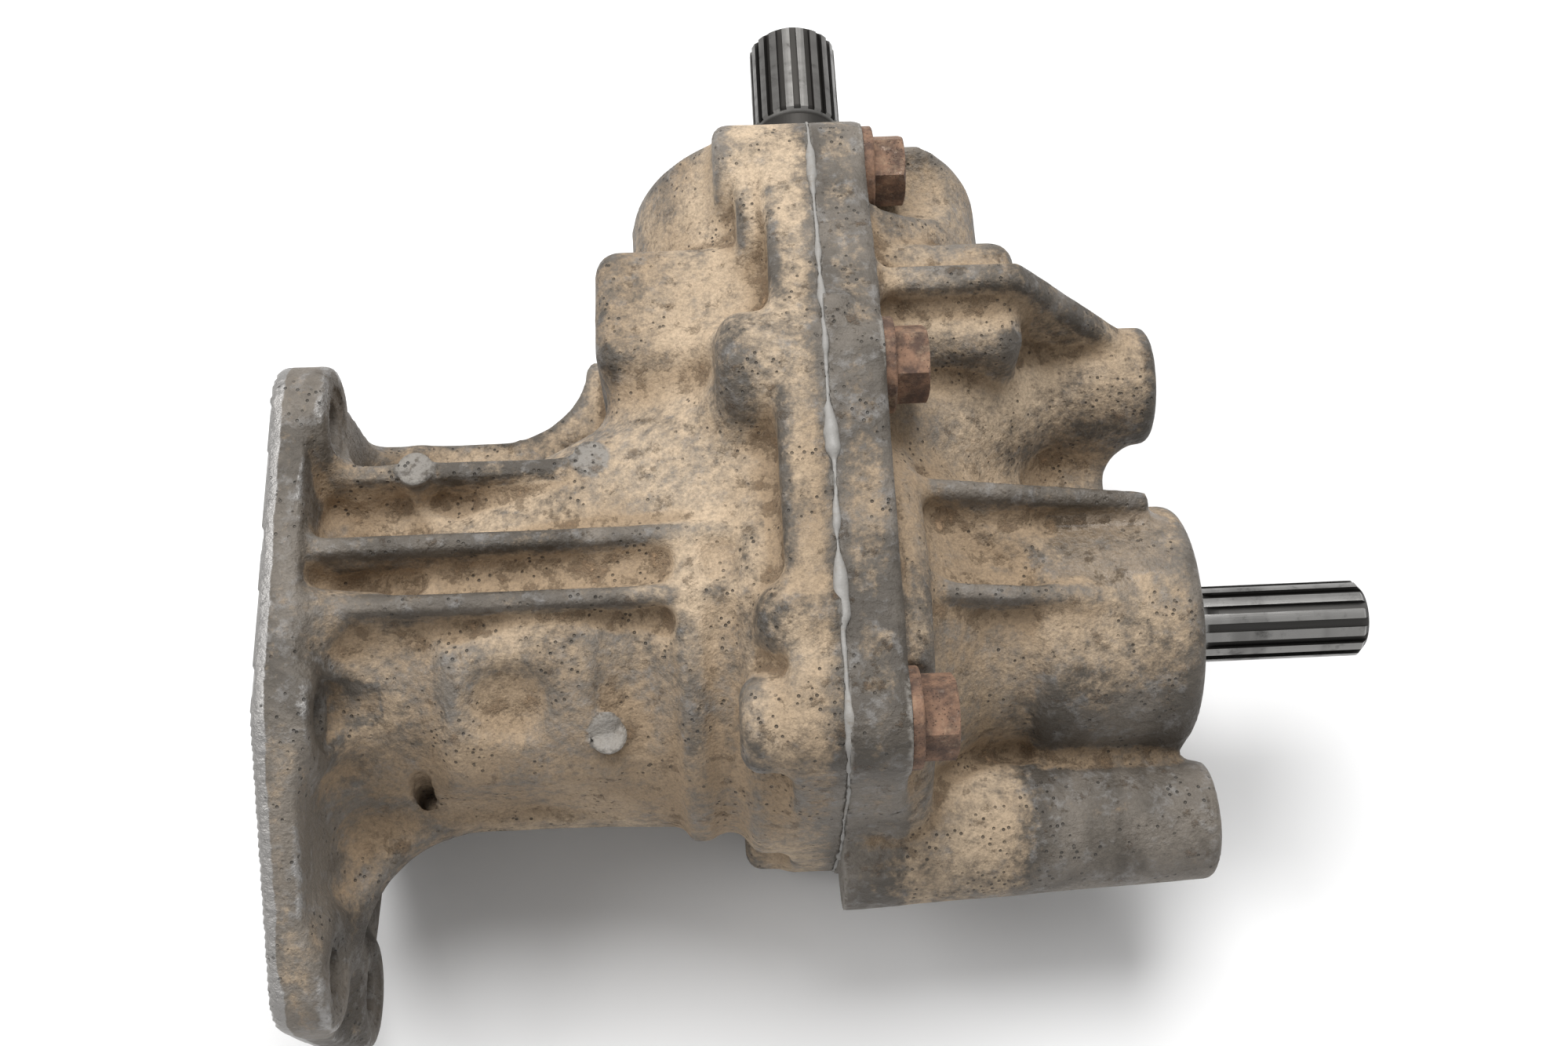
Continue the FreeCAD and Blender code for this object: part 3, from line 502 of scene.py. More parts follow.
shaftWear = {
    "main": {
        "centre": (0.0, 0.0, 0.0), "across": (0.0, 1.0, 1.0), "along": 0,
        "crest": 0.0080, "bands": 95.0,
    },
    "pinion": {
        "centre": (0.108, 0.0, 0.0), "across": (1.0, 0.0, 1.0), "along": 1,
        "crest": 0.0105, "bands": 120.0,
    },
    "grooveStart": 0.0003,
    # how dark the painted shade in the spline grooves is
    "grooveEnd": 0.0008,
    "groovePaintedShade": 0.82,
    "lineScale": 2200.0,
    "lineStretch": 0.04,
    "ringStretch": 0.05,
    "bandNoise": (3.0, 0.6),
    "bandLevels": (0.46, 0.62),
    "bandDark": 0.32,
    "stain": {"noise": (330.0, 6.0, 0.7), "levels": (0.52, 0.70)},
    "stainDark": 0.35,
    "polish": 0.06,
    "lineRough": 0.14,
    "wearAndGrooveRough": 0.25,
    "lineDepth": 0.00003,
}


def splineMaterial(name, v, kind, wear):
    # distance from the shaft's own axis tells a crest from a groove; the grooves are darkened as
    # painted shade, the bands and stains are real wear
    material, tree, shader = startMaterial(name)
    shaft = wear[kind]
    place = objectPlace(tree)
    fromAxis = vectorCalc(tree, "SUBTRACT", place, shaft["centre"])[0]
    flat = vectorCalc(tree, "MULTIPLY", fromAxis, shaft["across"])[0]
    radius = vectorCalc(tree, "LENGTH", flat, (0.0, 0.0, 0.0))["Value"]
    groove = spread(
        tree, radius, shaft["crest"] - wear["grooveStart"], shaft["crest"] - wear["grooveEnd"])
    stretch = [1.0, 1.0, 1.0]
    stretch[shaft["along"]] = wear["lineStretch"]
    lines = useGroup(tree, fineScratches, {
        "Place": place, "Stretch": tuple(stretch), "Scale": wear["lineScale"],
    })["Lines"]
    rings = [wear["ringStretch"]] * 3
    rings[shaft["along"]] = 1.0
    ringPlace = vectorCalc(tree, "MULTIPLY", place, tuple(rings))[0]
    bands = noise(tree, ringPlace, shaft["bands"], *wear["bandNoise"])
    bands = spread(tree, bands, *wear["bandLevels"])
    stain = patches(tree, place, wear["stain"])
    worn = addUp(tree, times(tree, bands, wear["bandDark"]), times(tree, stain, wear["stainDark"]))
    # painted shade in the grooves together with worn bands and stains
    wornAndGrooveShade = calc(tree, "MAXIMUM", times(tree, groove, wear["groovePaintedShade"]), worn)
    rough = addUp(
        tree, v["rough"] - wear["polish"],
        times(tree, lines, wear["lineRough"]), times(tree, wornAndGrooveShade, wear["wearAndGrooveRough"]))
    plugAll(tree, shader, {
        "Base Color": blendColour(tree, wornAndGrooveShade, v["clean"], v["dark"]),
        "Metallic": 1.0,
        "Roughness": rough,
        "Normal": bump(tree, times(tree, lines, wear["lineDepth"])),
    })
    return material


boltFinish = {
    "rust": (0.245, 0.140, 0.088),
    "rustDark": (0.070, 0.040, 0.028),
    "dust": (0.44, 0.32, 0.21),
    "zinc": (0.26, 0.20, 0.16),
    "grain": {"Lumps": 900.0, "Pore Size": 1500.0, "Pore Share": 0.42},
    "dusting": {"Amount": 0.02, "Upward": 0.5, "Hollow": 0.0, "Edge": 0.0, "Patch": 110.0},
    "toneNoise": (240.0, 6.0, 0.68),
    "toneLevels": (0.36, 0.66),
    "plated": {"noise": (420.0, 5.0, 0.7), "levels": (0.57, 0.70)},
    "platedShare": 0.45,
    "dustShare": 0.55,
    "poreShare": 0.6,
    "roughRust": 0.82,
    "roughPlated": 0.5,
    "grainDepth": 0.00022,
    "toneDepth": 0.00018,
}


def rustyMaterial(v):
    material, tree, shader = startMaterial("rustyPlatedSteel")
    place = objectPlace(tree)
    grain = useGroup(tree, castGrain, {"Place": place, **v["grain"]})
    tone = noise(tree, place, *v["toneNoise"])
    colour = blendColour(tree, spread(tree, tone, *v["toneLevels"]), v["rustDark"], v["rust"])
    dust = useGroup(tree, dryDust, {"Place": place, **v["dusting"]})
    plated = patches(tree, place, v["plated"])
    colour = blendColour(tree, times(tree, plated, v["platedShare"]), colour, v["zinc"])
    colour = blendColour(tree, times(tree, dust["Cover"], v["dustShare"]), colour, v["dust"])
    colour = blendColour(tree, times(tree, grain["Pores"], v["poreShare"]), colour, v["rustDark"])
    height = addUp(
        tree, times(tree, grain["Height"], v["grainDepth"]), times(tree, tone, v["toneDepth"]))
    plugAll(tree, shader, {
        "Base Color": colour,
        "Metallic": times(tree, plated, v["platedShare"]),
        "Roughness": blendValue(tree, plated, v["roughRust"], v["roughPlated"]),
        "Normal": bump(tree, height),
    })
    return material


rubberFinish = {
    "dark": (0.012, 0.012, 0.012),
    "light": (0.030, 0.028, 0.026),
    "dust": (0.16, 0.115, 0.07),
    "dusting": {"Amount": -0.05, "Upward": 0.3, "Hollow": 0.2, "Edge": 0.0, "Patch": 120.0},
    "dustShare": 0.5,
    "toneNoise": (500.0, 5.0, 0.6),
    "rough": (0.42, 0.62),
    "depth": 0.00006,
}
sealantFinish = {
    "dark": (0.265, 0.255, 0.240),
    "light": (0.265, 0.255, 0.240),
    "dust": (0.17, 0.135, 0.095),
    "dusting": {"Amount": 0.06, "Upward": 0.2, "Hollow": 0.0, "Edge": 0.0, "Patch": 90.0},
    "dustShare": 0.85,
    "toneNoise": (700.0, 5.0, 0.62),
    "rough": (0.45, 0.7),
    "depth": 0.00020,
}


def softMaterial(name, v):
    material, tree, shader = startMaterial(name)
    place = objectPlace(tree)
    tone = noise(tree, place, *v["toneNoise"])
    dust = useGroup(tree, dryDust, {"Place": place, **v["dusting"]})
    colour = blendColour(tree, tone, v["dark"], v["light"])
    plugAll(tree, shader, {
        "Base Color": blendColour(tree, times(tree, dust["Cover"], v["dustShare"]), colour, v["dust"]),
        "Roughness": spread(tree, tone, 0.3, 0.7, *v["rough"]),
        "Normal": bump(tree, times(tree, tone, v["depth"])),
    })
    return material


brassFinish = {
    "bright": (0.46, 0.31, 0.12),
    "dull": (0.30, 0.19, 0.075),
    "toneNoise": (300.0, 5.0, 0.6),
    "rough": (0.28, 0.45),
}


def brassMaterial(v):
    material, tree, shader = startMaterial("cageBrass")
    tone = noise(tree, objectPlace(tree), *v["toneNoise"])
    plugAll(tree, shader, {
        "Base Color": blendColour(tree, tone, v["bright"], v["dull"]),
        "Metallic": 1.0,
        "Roughness": spread(tree, tone, 0.3, 0.7, *v["rough"]),
    })
    return material


castAluminium = castMaterial(castFinish)
sealGrey = softMaterial("greySealant", sealantFinish)
finishes = {
    "mainShaft": splineMaterial("splinedSteelMain", steelFinish["mainSpline"], "main", shaftWear),
    "pinionShaft": splineMaterial(
        "splinedSteelPinion", steelFinish["pinionSpline"], "pinion", shaftWear),
    "gear_steel": steelMaterial("gearSteel", steelFinish["gear"], steelWear),
    "bearing_steel": steelMaterial("bearingSteel", steelFinish["bearing"], steelWear),
    "plain_steel": steelMaterial("plainSteel", steelFinish["plain"], steelWear),
    "plug_steel": steelMaterial("plugSteel", steelFinish["plug"], steelWear),
    "plug_washer": steelMaterial("plugWasherMetal", steelFinish["plain"], steelWear),
    "rusty_fastener": rustyMaterial(boltFinish),
    "seal_rubber": softMaterial("sealRubber", rubberFinish),
    "cage_brass": brassMaterial(brassFinish),
    "sealant": sealGrey,
    "cast_case": castAluminium,
}
print("finishes ready")


def paint(thing, material):
    thing.data.materials.clear()
    thing.data.materials.append(material)


slotOf = {entry["node"]: entry["material_slot"] for entry in frame["record"]["subparts"]}
slotOf["main_shaft"] = "mainShaft"
slotOf["pinion_shaft"] = "pinionShaft"
for name, thing in nodes.items():
    key = slotOf.get(name)
    if key in finishes:
        paint(thing, finishes[key])
    else:
        print("no finish for", name, key)


# Castings as distance fields, in millimetres: soft fillets outside, machined cuts kept sharp

castShape = {
    "step": 0.78,
    "band": 11.0,
    "smallFillet": 2.0,
    "wideFillet": 7.5,
    "edgeRound": 1.1,
    "drawnCells": 2.2,
    "lumpHeight": 0.14,
    "lumpNoise": [(0.6, 9.0, 11), (0.4, 3.6, 12)],
    "mudHeight": 0.55,
    "mudNoise": [(1.0, 7.0, 13), (0.6, 2.9, 14)],
    "pocketDepth": 3.0,
    "faceFade": (1.0, 4.0),
    "adaptivity": 0.010,
    "adaptivityStep": 0.004,
    "mostTriangles": 190000,
    "calmPasses": 5,
    "edgeBend": (0.10, 0.42),
    "hollowBend": (0.04, 0.26),
    "snapShare": 0.5,
    "padShare": 0.6,
    "padReach": 3.6,
    "faceReach": 0.2,
    "cutMargin": 0.3,
}
faces = {"parting": 108.0, "sealant": 0.3}
leftFace = faces["parting"] - faces["sealant"] / 2
rightFace = faces["parting"] + faces["sealant"] / 2


def nodeSurface(name):
    mesh = nodes[name].data
    points = np.empty(len(mesh.vertices) * 3, np.float32)
    mesh.vertices.foreach_get("co", points)
    mesh.calc_loop_triangles()
    corners = np.empty(len(mesh.loop_triangles) * 3, np.int32)
    mesh.loop_triangles.foreach_get("vertices", corners)
    return points.reshape(-1, 3) * 1000.0, corners.reshape(-1, 3).astype(np.uint32)


class Field:
    # distances on a regular grid; the value at index i stands at (first + i) * step
    def __init__(self, first, counts, step, band):
        self.first = first
        self.counts = counts
        self.step = step
        self.band = band
        self.axes = [(first[k] + np.arange(counts[k], dtype=np.float32)) * step for k in range(3)]

    def grid(self, points, **polygons):
        scale = openvdb.createLinearTransform(self.step)
        cells = self.band / self.step
        return openvdb.FloatGrid.createLevelSetFromPolygons(
            points, transform=scale, halfWidth=cells, **polygons)

    def values(self, grid):
        out = np.empty(self.counts, np.float32)
        grid.copyToArray(out, ijk=self.first)
        return out

    def gridOf(self, values):
        grid = openvdb.FloatGrid(self.band)
        grid.transform = openvdb.createLinearTransform(self.step)
        grid.copyFromArray(np.ascontiguousarray(values, np.float32), ijk=self.first)
        return grid

    def moved(self, values, level):
        # distance to the shape's own surface after it has grown or shrunk by level
        points, triangles, quads = self.gridOf(values).convertToPolygons(level, 0.0)
        return self.values(self.grid(points, quads=quads))

    def sample(self, values, points):
        # mean of the eight nearest values, weighted by nearness
        spot = points / self.step - np.array(self.first, np.float32)
        spot = np.clip(spot, 0, np.array(self.counts) - 1.001)
        base = spot.astype(np.int32)
        part = spot - base
        total = np.zeros(len(points), np.float32)
        for corner in range(8):
            dx, dy, dz = corner & 1, (corner >> 1) & 1, corner >> 2
            share = np.abs(1 - dx - part[:, 0]) * np.abs(1 - dy - part[:, 1])
            share = share * np.abs(1 - dz - part[:, 2])
            total += share * values[base[:, 0] + dx, base[:, 1] + dy, base[:, 2] + dz]
        return total


def gridAxes(field):
    # the three axes, each lying along its own direction of the grid
    return [a.reshape([-1 if k == j else 1 for j in range(3)]) for k, a in enumerate(field.axes)]


def blurred(values, passes):
    # each pass is a quarter, a half and a quarter along every axis
    out = values.copy()
    for turn in range(passes):
        for axis in range(3):
            moved = np.swapaxes(out, 0, axis)
            moved[1:-1] = 0.25 * moved[:-2] + 0.5 * moved[1:-1] + 0.25 * moved[2:]
    return out


def softNoise(field, cell, seed):
    # random heights on a coarse grid, joined by smooth steps along each axis, from -1 to 1
    random = np.random.default_rng(seed)
    spots = [axis / cell for axis in field.axes]
    lows = [int(np.floor(s[0])) for s in spots]
    sizes = [int(np.floor(s[-1])) - low + 2 for s, low in zip(spots, lows)]
    values = random.uniform(-1.0, 1.0, sizes).astype(np.float32)
    for axis in range(3):
        spot = spots[axis] - lows[axis]
        base = np.floor(spot).astype(int)
        part = spot - base
        part = (part * part * (3.0 - 2.0 * part)).astype(np.float32)
        shape = [1, 1, 1]
        shape[axis] = len(part)
        part = part.reshape(shape)
        values = np.take(values, base, axis) * (1.0 - part) + np.take(values, base + 1, axis) * part
    return values


def noiseSum(field, layers):
    # layers of soft noise, each as its weight, its cell in millimetres and its seed
    return sum(weight * softNoise(field, cell, seed) for weight, cell, seed in layers)


def keepAsMachined(field, soft, source, axis, centre, radius, start, end):
    # inside this cylinder the casting is the CAD shape again
    others = [k for k in range(3) if k != axis]
    spans = [slice(None)] * 3
    limits = {axis: (start, end)}
    for k, middle in zip(others, centre):
        limits[k] = (middle - radius, middle + radius)
    for k in range(3):
        low = int(np.floor(limits[k][0] / field.step)) - field.first[k] - 3
        high = int(np.ceil(limits[k][1] / field.step)) - field.first[k] + 4
        spans[k] = slice(max(low, 0), min(max(high, 0), field.counts[k]))
    spans = tuple(spans)
    axes = [line[(slice(None),) * k + (spans[k],)] for k, line in enumerate(gridAxes(field))]
    first, second = axes[others[0]] - centre[0], axes[others[1]] - centre[1]
    across = np.sqrt(first ** 2 + second ** 2) - radius
    along = np.abs(axes[axis] - (start + end) / 2) - (end - start) / 2
    region = np.maximum(across, along)
    inner = source[spans]
    outer = np.minimum(soft[spans], np.maximum(region, inner))
    soft[spans] = np.maximum(outer, np.minimum(-region, inner))


def turnedField(field, profile):
    # distance to a closed outline of (x, radius) points, spun about the X axis; negative inside
    x = field.axes[0].reshape(-1, 1, 1)
    radius = np.sqrt(field.axes[1].reshape(1, -1, 1) ** 2 + field.axes[2].reshape(1, 1, -1) ** 2)
    nearest = np.full(field.counts, 1e6, np.float32)
    crossings = np.zeros(field.counts, bool)
    for (x0, r0), (x1, r1) in zip(profile, profile[1:] + profile[:1]):
        dx, dr = x1 - x0, r1 - r0
        along = np.clip(((x - x0) * dx + (radius - r0) * dr) / (dx * dx + dr * dr), 0.0, 1.0)
        nearest = np.minimum(nearest, (x - x0 - along * dx) ** 2 + (radius - r0 - along * dr) ** 2)
        if r0 != r1:
            crossings ^= ((radius >= r0) != (radius >= r1)) & (x < x0 + (radius - r0) * dx / dr)
    return np.where(crossings, -np.sqrt(nearest), np.sqrt(nearest)).astype(np.float32)


def rodField(field, start, end, startR, endR):
    # distance to a round rod between two points, its radius changing evenly
    fromX, fromY, fromZ = [a - start[k] for k, a in enumerate(gridAxes(field))]
    line = np.array(end) - np.array(start)
    length = float(line @ line)
    along = np.clip((fromX * line[0] + fromY * line[1] + fromZ * line[2]) / length, 0, 1)
    away = (
        (fromX - along * line[0]) ** 2 + (fromY - along * line[1]) ** 2
        + (fromZ - along * line[2]) ** 2)
    return (np.sqrt(away) - startR - (endR - startR) * along).astype(np.float32)


def surfaceObject(name, points, faceSets):
    # one mesh from arrays of three- and four-cornered faces
    mesh = bpy.data.meshes.new(name)
    corners = np.concatenate([f.reshape(-1) for f in faceSets]).astype(np.int32)
    sides = np.concatenate([np.full(len(f), f.shape[1], np.int32) for f in faceSets])
    starts = np.concatenate([[0], np.cumsum(sides)[:-1]]).astype(np.int32)
    mesh.vertices.add(len(points))
    mesh.vertices.foreach_set("co", np.ascontiguousarray(points, np.float32).reshape(-1))
    mesh.loops.add(len(corners))
    mesh.loops.foreach_set("vertex_index", corners)
    mesh.polygons.add(len(sides))
    mesh.polygons.foreach_set("loop_start", starts)
    mesh.polygons.foreach_set("use_smooth", np.ones(len(sides), bool))
    mesh.update(calc_edges=True)
    mesh.validate()
    thing = bpy.data.objects.new(name, mesh)
    bpy.context.scene.collection.objects.link(thing)
    return thing


def addValues(thing, name, values):
    attribute = thing.data.attributes.new(name, "FLOAT", "POINT")
    attribute.data.foreach_set("value", np.ascontiguousarray(values, np.float32))


def outward(points, faceSets):
    # the volume under the faces is positive when they point outwards
    total = 0.0
    for corners in faceSets:
        for second in range(1, corners.shape[1] - 1):
            a, b = points[corners[:, 0]], points[corners[:, second]]
            c = points[corners[:, second + 1]]
            total += float(np.einsum("ij,ij->i", a, np.cross(b, c)).sum())
    return [f[:, ::-1] for f in faceSets] if total < 0 else faceSets


def softStep(values, low, high):
    t = np.clip((values - low) / (high - low), 0.0, 1.0)
    return t * t * (3.0 - 2.0 * t)


def flatten(points, axis, level, reach, mask=None):
    near = np.abs(points[:, axis] - level) < reach
    if mask is not None:
        near &= mask
    points[near, axis] = level


def roundHole(points, axis, centre, radius, start, end, reach):
    # points close to a bored wall are moved onto it
    others = [k for k in range(3) if k != axis]
    away = points[:, others] - np.array(centre, np.float32)
    length = np.maximum(np.linalg.norm(away, axis=1), 1e-6)
    near = (np.abs(length - radius) < reach) & (points[:, axis] > start) & (points[:, axis] < end)
    points[near[:, None] & np.isin(np.arange(3), others)[None, :]] = (
        np.array(centre, np.float32) + away[near] * (radius / length[near])[:, None]).reshape(-1)


def castPiece(name, v, side, forms):
    # the CAD shape as distances; adding forms takes the smaller distance, carving the larger;
    # growing it and shrinking it again fills corners, the other way round rounds its edges
    step = v["step"]
    points, triangles = nodeSurface(name)
    low, high = points.min(0), points.max(0)
    extra = v["wideFillet"] + 4 * step
    first = tuple(int(c) for c in np.floor((low - extra) / step))
    counts = tuple(int(c) for c in np.ceil((high + extra) / step).astype(int) - np.array(first) + 1)
    field = Field(first, counts, step, v["band"])
    source = field.values(field.grid(points, triangles=triangles))
    drawn = np.minimum(source, turnedField(field, forms["shell"]))
    for rod in forms["rods"]:
        drawn = np.minimum(drawn, rodField(field, *rod))
    for dish in forms["dishes"]:
        drawn = np.maximum(drawn, -rodField(field, *dish))
    # the joint face is drawn out, so that smoothing leaves its outline full
    face = leftFace if side < 0 else rightFace
    inner = face + side * v["drawnCells"] * step
    index = int(np.argmin(np.abs(field.axes[0] - inner)))
    if side < 0:
        drawn[index + 1:-4] = drawn[index]
        drawn[-4:] = v["band"]
    else:
        drawn[4:index] = drawn[index]
        drawn[:4] = v["band"]
    small = field.moved(drawn, v["smallFillet"]) + v["smallFillet"]
    wide = field.moved(drawn, v["wideFillet"]) + v["wideFillet"]
    gridX, gridY, gridZ = gridAxes(field)
    share = np.zeros(field.counts, np.float32)
    for centre, reach, fade in forms["wide"]:
        away = np.sqrt(
            (gridX - centre[0]) ** 2 + (gridY - centre[1]) ** 2 + (np.abs(gridZ) - centre[2]) ** 2)
        share = np.maximum(share, 1.0 - softStep(away, reach, reach + fade))
    soft = small * (1.0 - share) + wide * share
    soft = field.moved(soft, -v["edgeRound"]) - v["edgeRound"]
    # mud in the pockets and the uneven skin of the casting
    pocket = np.clip((source - wide) / v["pocketDepth"], 0.0, 1.0)
    lumps = noiseSum(field, v["lumpNoise"])
    mud = softStep(noiseSum(field, v["mudNoise"]), 0.0, 1.0)
    awayFromFace = softStep(np.abs(gridX - face), *v["faceFade"])
    soft -= v["lumpHeight"] * lumps * awayFromFace
    soft -= v["mudHeight"] * mud * pocket * awayFromFace
    for cut in forms["cuts"]:
        keepAsMachined(field, soft, source, *cut)
    for drill in forms["drills"]:
        soft = np.maximum(soft, -rodField(field, *drill))
    soft = np.maximum(soft, -turnedField(field, gearHollow))
    if side < 0:
        soft = np.maximum(soft, np.maximum(gridX - leftFace, -gridX))
    else:
        soft = np.maximum(soft, rightFace - gridX)
    soft = np.clip(soft, -v["band"], v["band"])
    grid = field.gridOf(soft)
    adaptivity = v["adaptivity"]
    while True:
        spots, three, four = grid.convertToPolygons(0.0, adaptivity)
        if len(three) + 2 * len(four) < v["mostTriangles"]:
            break
        adaptivity += v["adaptivityStep"]
    print(name, "triangles:", len(three) + 2 * len(four), "adaptivity", round(adaptivity, 3))
    spots = spots.astype(np.float32)
    # bend of the surface, from the sum of second differences: outer edges above zero, hollows below
    calm = blurred(soft, v["calmPasses"])
    bend = -6.0 * calm
    for axis in range(3):
        moved = np.swapaxes(calm, 0, axis)
        sums = np.swapaxes(bend, 0, axis)
        sums[1:-1] += moved[:-2] + moved[2:]
    bend /= step * step
    bend = field.sample(bend, spots)
    slopes = [field.sample(g, spots) for g in np.gradient(calm, step)]
    length = np.maximum(np.sqrt(sum(s * s for s in slopes)), 1e-6)
    pockets = field.sample(pocket, spots)
    # crisp machined surfaces
    reach = v["snapShare"] * step
    flatten(spots, 0, face, reach)
    machined = (np.abs(spots[:, 0] - face) < v["faceReach"]).astype(np.float32)
    if side < 0:
        flatten(spots, 0, 0.0, reach)
        machined = np.maximum(machined, (spots[:, 0] < v["faceReach"]).astype(np.float32))
    for axis, centre, radius, start, end in forms["holes"]:
        roundHole(spots, axis, centre, radius, start, end, 1.5 * reach)
    for x, y, top in forms["tops"]:
        away = np.hypot(spots[:, 0] - x, spots[:, 1] - y)
        flatten(spots, 2, top, v["padShare"] * step, away < v["padReach"])
    for axis, centre, radius, start, end in forms["cuts"]:
        others = [k for k in range(3) if k != axis]
        away = np.linalg.norm(spots[:, others] - np.array(centre, np.float32), axis=1)
        near, far = start - v["cutMargin"], end + v["cutMargin"]
        inside = (away < radius) & (spots[:, axis] > near) & (spots[:, axis] < far)
        machined = np.maximum(machined, inside.astype(np.float32))
    spots = np.clip(spots, low + 0.001, high - 0.001)
    faceSets = outward(spots, [f for f in (three, four) if len(f)])
    thing = surfaceObject(name + "Cast", spots / 1000.0, faceSets)
    addValues(thing, "edge", softStep(bend, *v["edgeBend"]))
    addValues(thing, "hollow", softStep(-bend, *v["hollowBend"]))
    addValues(thing, "upward", np.clip(slopes[2] / length, 0.0, 1.0))
    addValues(thing, "pocket", pockets)
    addValues(thing, "machined", machined)
    paint(thing, castAluminium)
    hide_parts(name)
    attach(thing, "case")
    return field, soft


# Places of the CAD part's holes: along the shaft as Y and Z, upright ones as X and Y;
# its pads as X, Y and top

flangeHoles = [
    (37.5, 35.0), (-22.4, 31.5), (-65.0, 7.5), (-64.0, -24.0), (-4.0, -43.0), (46.0, -20.0),
]
boltPlaces = [
    (94.0, 35.0), (41.0, 44.0), (-30.0, 38.0), (94.0, -35.0), (41.0, -44.0), (-30.0, -38.0),
]
dowelPlaces = [(-12.0, 44.5), (-12.0, -44.5)]
lowerBoss = (-39.5, -10.0)
upperBoss = (56.0, 4.0)
drainPlace = (-9.0, -32.5)
fillPlace = (86.0, 14.0)
webHole = (25.5, -31.0)
ejectorPads = [(26.5, 26.5, 35.6), (61.0, 27.5, 35.6), (63.5, -27.0, 26.0)]

# each cut: axis, centre across it, radius, start and end along it
leftCuts = [
    (0, (0.0, 0.0), 28.6, -2.0, 6.3),
    (0, (0.0, 0.0), 28.6, 5.0, 75.0),
    (1, (108.0, 0.0), 27.6, 20.0, 115.0),
    (2, fillPlace, 7.7, -47.0, -24.0),
    (2, fillPlace, 11.8, -49.0, -45.9),
]
leftCuts += [(0, place, 4.9, -1.0, 11.5) for place in flangeHoles]
leftCuts += [(0, place, 7.3, 9.6, 20.0) for place in flangeHoles]
leftCuts += [(0, place, 5.6, 91.0, 109.5) for place in boltPlaces]
leftCuts += [(0, place, 3.6, 99.0, 109.5) for place in dowelPlaces]
leftCuts += [(2, (x, y), 3.9, top - 1.0, top + 4.0) for x, y, top in ejectorPads]
leftHoles = [(0, place, 4.25, -1.0, 10.5) for place in flangeHoles]
leftHoles += [(0, place, 7.0, 9.7, 13.0) for place in flangeHoles]
leftHoles += [(0, place, 5.02, 92.5, 108.5) for place in boltPlaces]
leftHoles += [(2, webHole, 2.4, -14.0, 13.0)]
leftHoles += [(2, (x, y), 3.5, top - 1.3, top + 0.4) for x, y, top in ejectorPads]
leftHoles += [(0, (0.0, 0.0), 28.0, -1.0, 6.0)]

rightCuts = [
    (0, (0.0, 0.0), 23.3, 152.0, 184.0),
    (1, (108.0, 0.0), 27.6, 20.0, 115.0),
    (0, lowerBoss, 5.7, 150.0, 186.0),
    (0, upperBoss, 5.7, 150.0, 184.0),
    (0, drainPlace, 7.7, 110.0, 131.0),
    (0, drainPlace, 11.8, 129.9, 133.0),
]
rightCuts += [(0, place, 6.1, 106.5, 120.5) for place in boltPlaces]
rightCuts += [(0, place, 10.4, 119.2, 129.0) for place in boltPlaces]
rightCuts += [(0, place, 3.6, 106.5, 117.0) for place in dowelPlaces]
rightHoles = [(0, place, 5.5, 107.0, 119.6) for place in boltPlaces]
rightHoles += [(0, lowerBoss, 5.0, 158.0, 186.0), (0, upperBoss, 5.0, 155.0, 183.0)]

# wide fillets: centre with Z taken both ways, full reach, fading distance
leftWide = [
    ((12.0, -45.0, 10.0), 30.0, 12.0),
    ((12.0, -20.0, 36.0), 16.0, 8.0),
    ((12.0, 40.0, 20.0), 14.0, 8.0),
    ((78.0, 40.0, 32.0), 16.0, 8.0),
    ((52.0, -27.0, 36.0), 17.0, 8.0),
]
rightWide = [
    ((135.0, 30.0, 10.0), 16.0, 10.0),
    ((165.0, 38.0, 0.0), 12.0, 8.0),
]

# room inside for gears and bearings, as (x, radius) round the main axis
gearHollow = [
    (-1.0, 0.0), (-1.0, 28.0), (6.0, 28.0), (6.0, 24.0), (29.0, 24.0), (29.0, 21.02),
    (41.0, 21.02), (41.0, 18.0), (45.0, 18.0), (48.0, 24.0), (67.0, 24.0), (67.0, 27.52),
    (80.0, 27.52), (82.0, 32.0), (84.0, 33.0), (84.2, 37.0), (117.0, 37.0), (124.0, 26.0),
    (134.0, 17.0), (148.5, 17.0), (156.5, 21.02), (168.5, 21.02), (168.5, 13.0), (174.0, 13.0),
    (174.0, 16.02), (184.0, 16.02), (184.0, 0.0),
]
# walls that carry the tube and the output neck round that room
leftShell = [
    (72.0, 0.0), (72.0, 32.6), (77.0, 33.2), (82.5, 38.7), (88.0, 39.0), (91.0, 42.4),
    (100.0, 42.6), (100.0, 0.0),
]
rightShell = [
    (110.0, 0.0), (110.0, 42.6), (119.0, 42.6), (128.0, 31.0), (137.0, 24.4), (152.0, 22.6),
    (152.0, 0.0),
]

# the hoop below the ribs: X and the angle from the top, on one radius
hoopRadius = 38.4
hoopTurns = [(79.2, 5.0), (79.6, 28.0), (80.0, 50.0), (80.3, 70.0), (80.4, 84.0)]
hoopSpots = [
    (x, -hoopRadius * math.sin(math.radians(a)), hoopRadius * math.cos(math.radians(a)))
    for x, a in hoopTurns
]

# rods as start, end and the radius at each: added, carved before and drilled after the softening
leftRods = [((18.0, 52.0, -14.0), (18.0, 52.0, -11.6), 3.5, 3.5)]
# both long ribs, the short one between them and the hoop
leftRods += [
    ((9.0, 7.7, 34.3), (90.0, 10.8, 34.9), 2.3, 2.1),
    ((9.0, -4.4, 34.3), (96.0, -2.0, 34.9), 2.3, 2.1),
    ((78.8, -2.0, 34.2), (78.8, 9.0, 34.2), 1.7, 1.7),
]
leftRods += [(a, b, 2.0, 2.0) for a, b in zip(hoopSpots, hoopSpots[1:])]
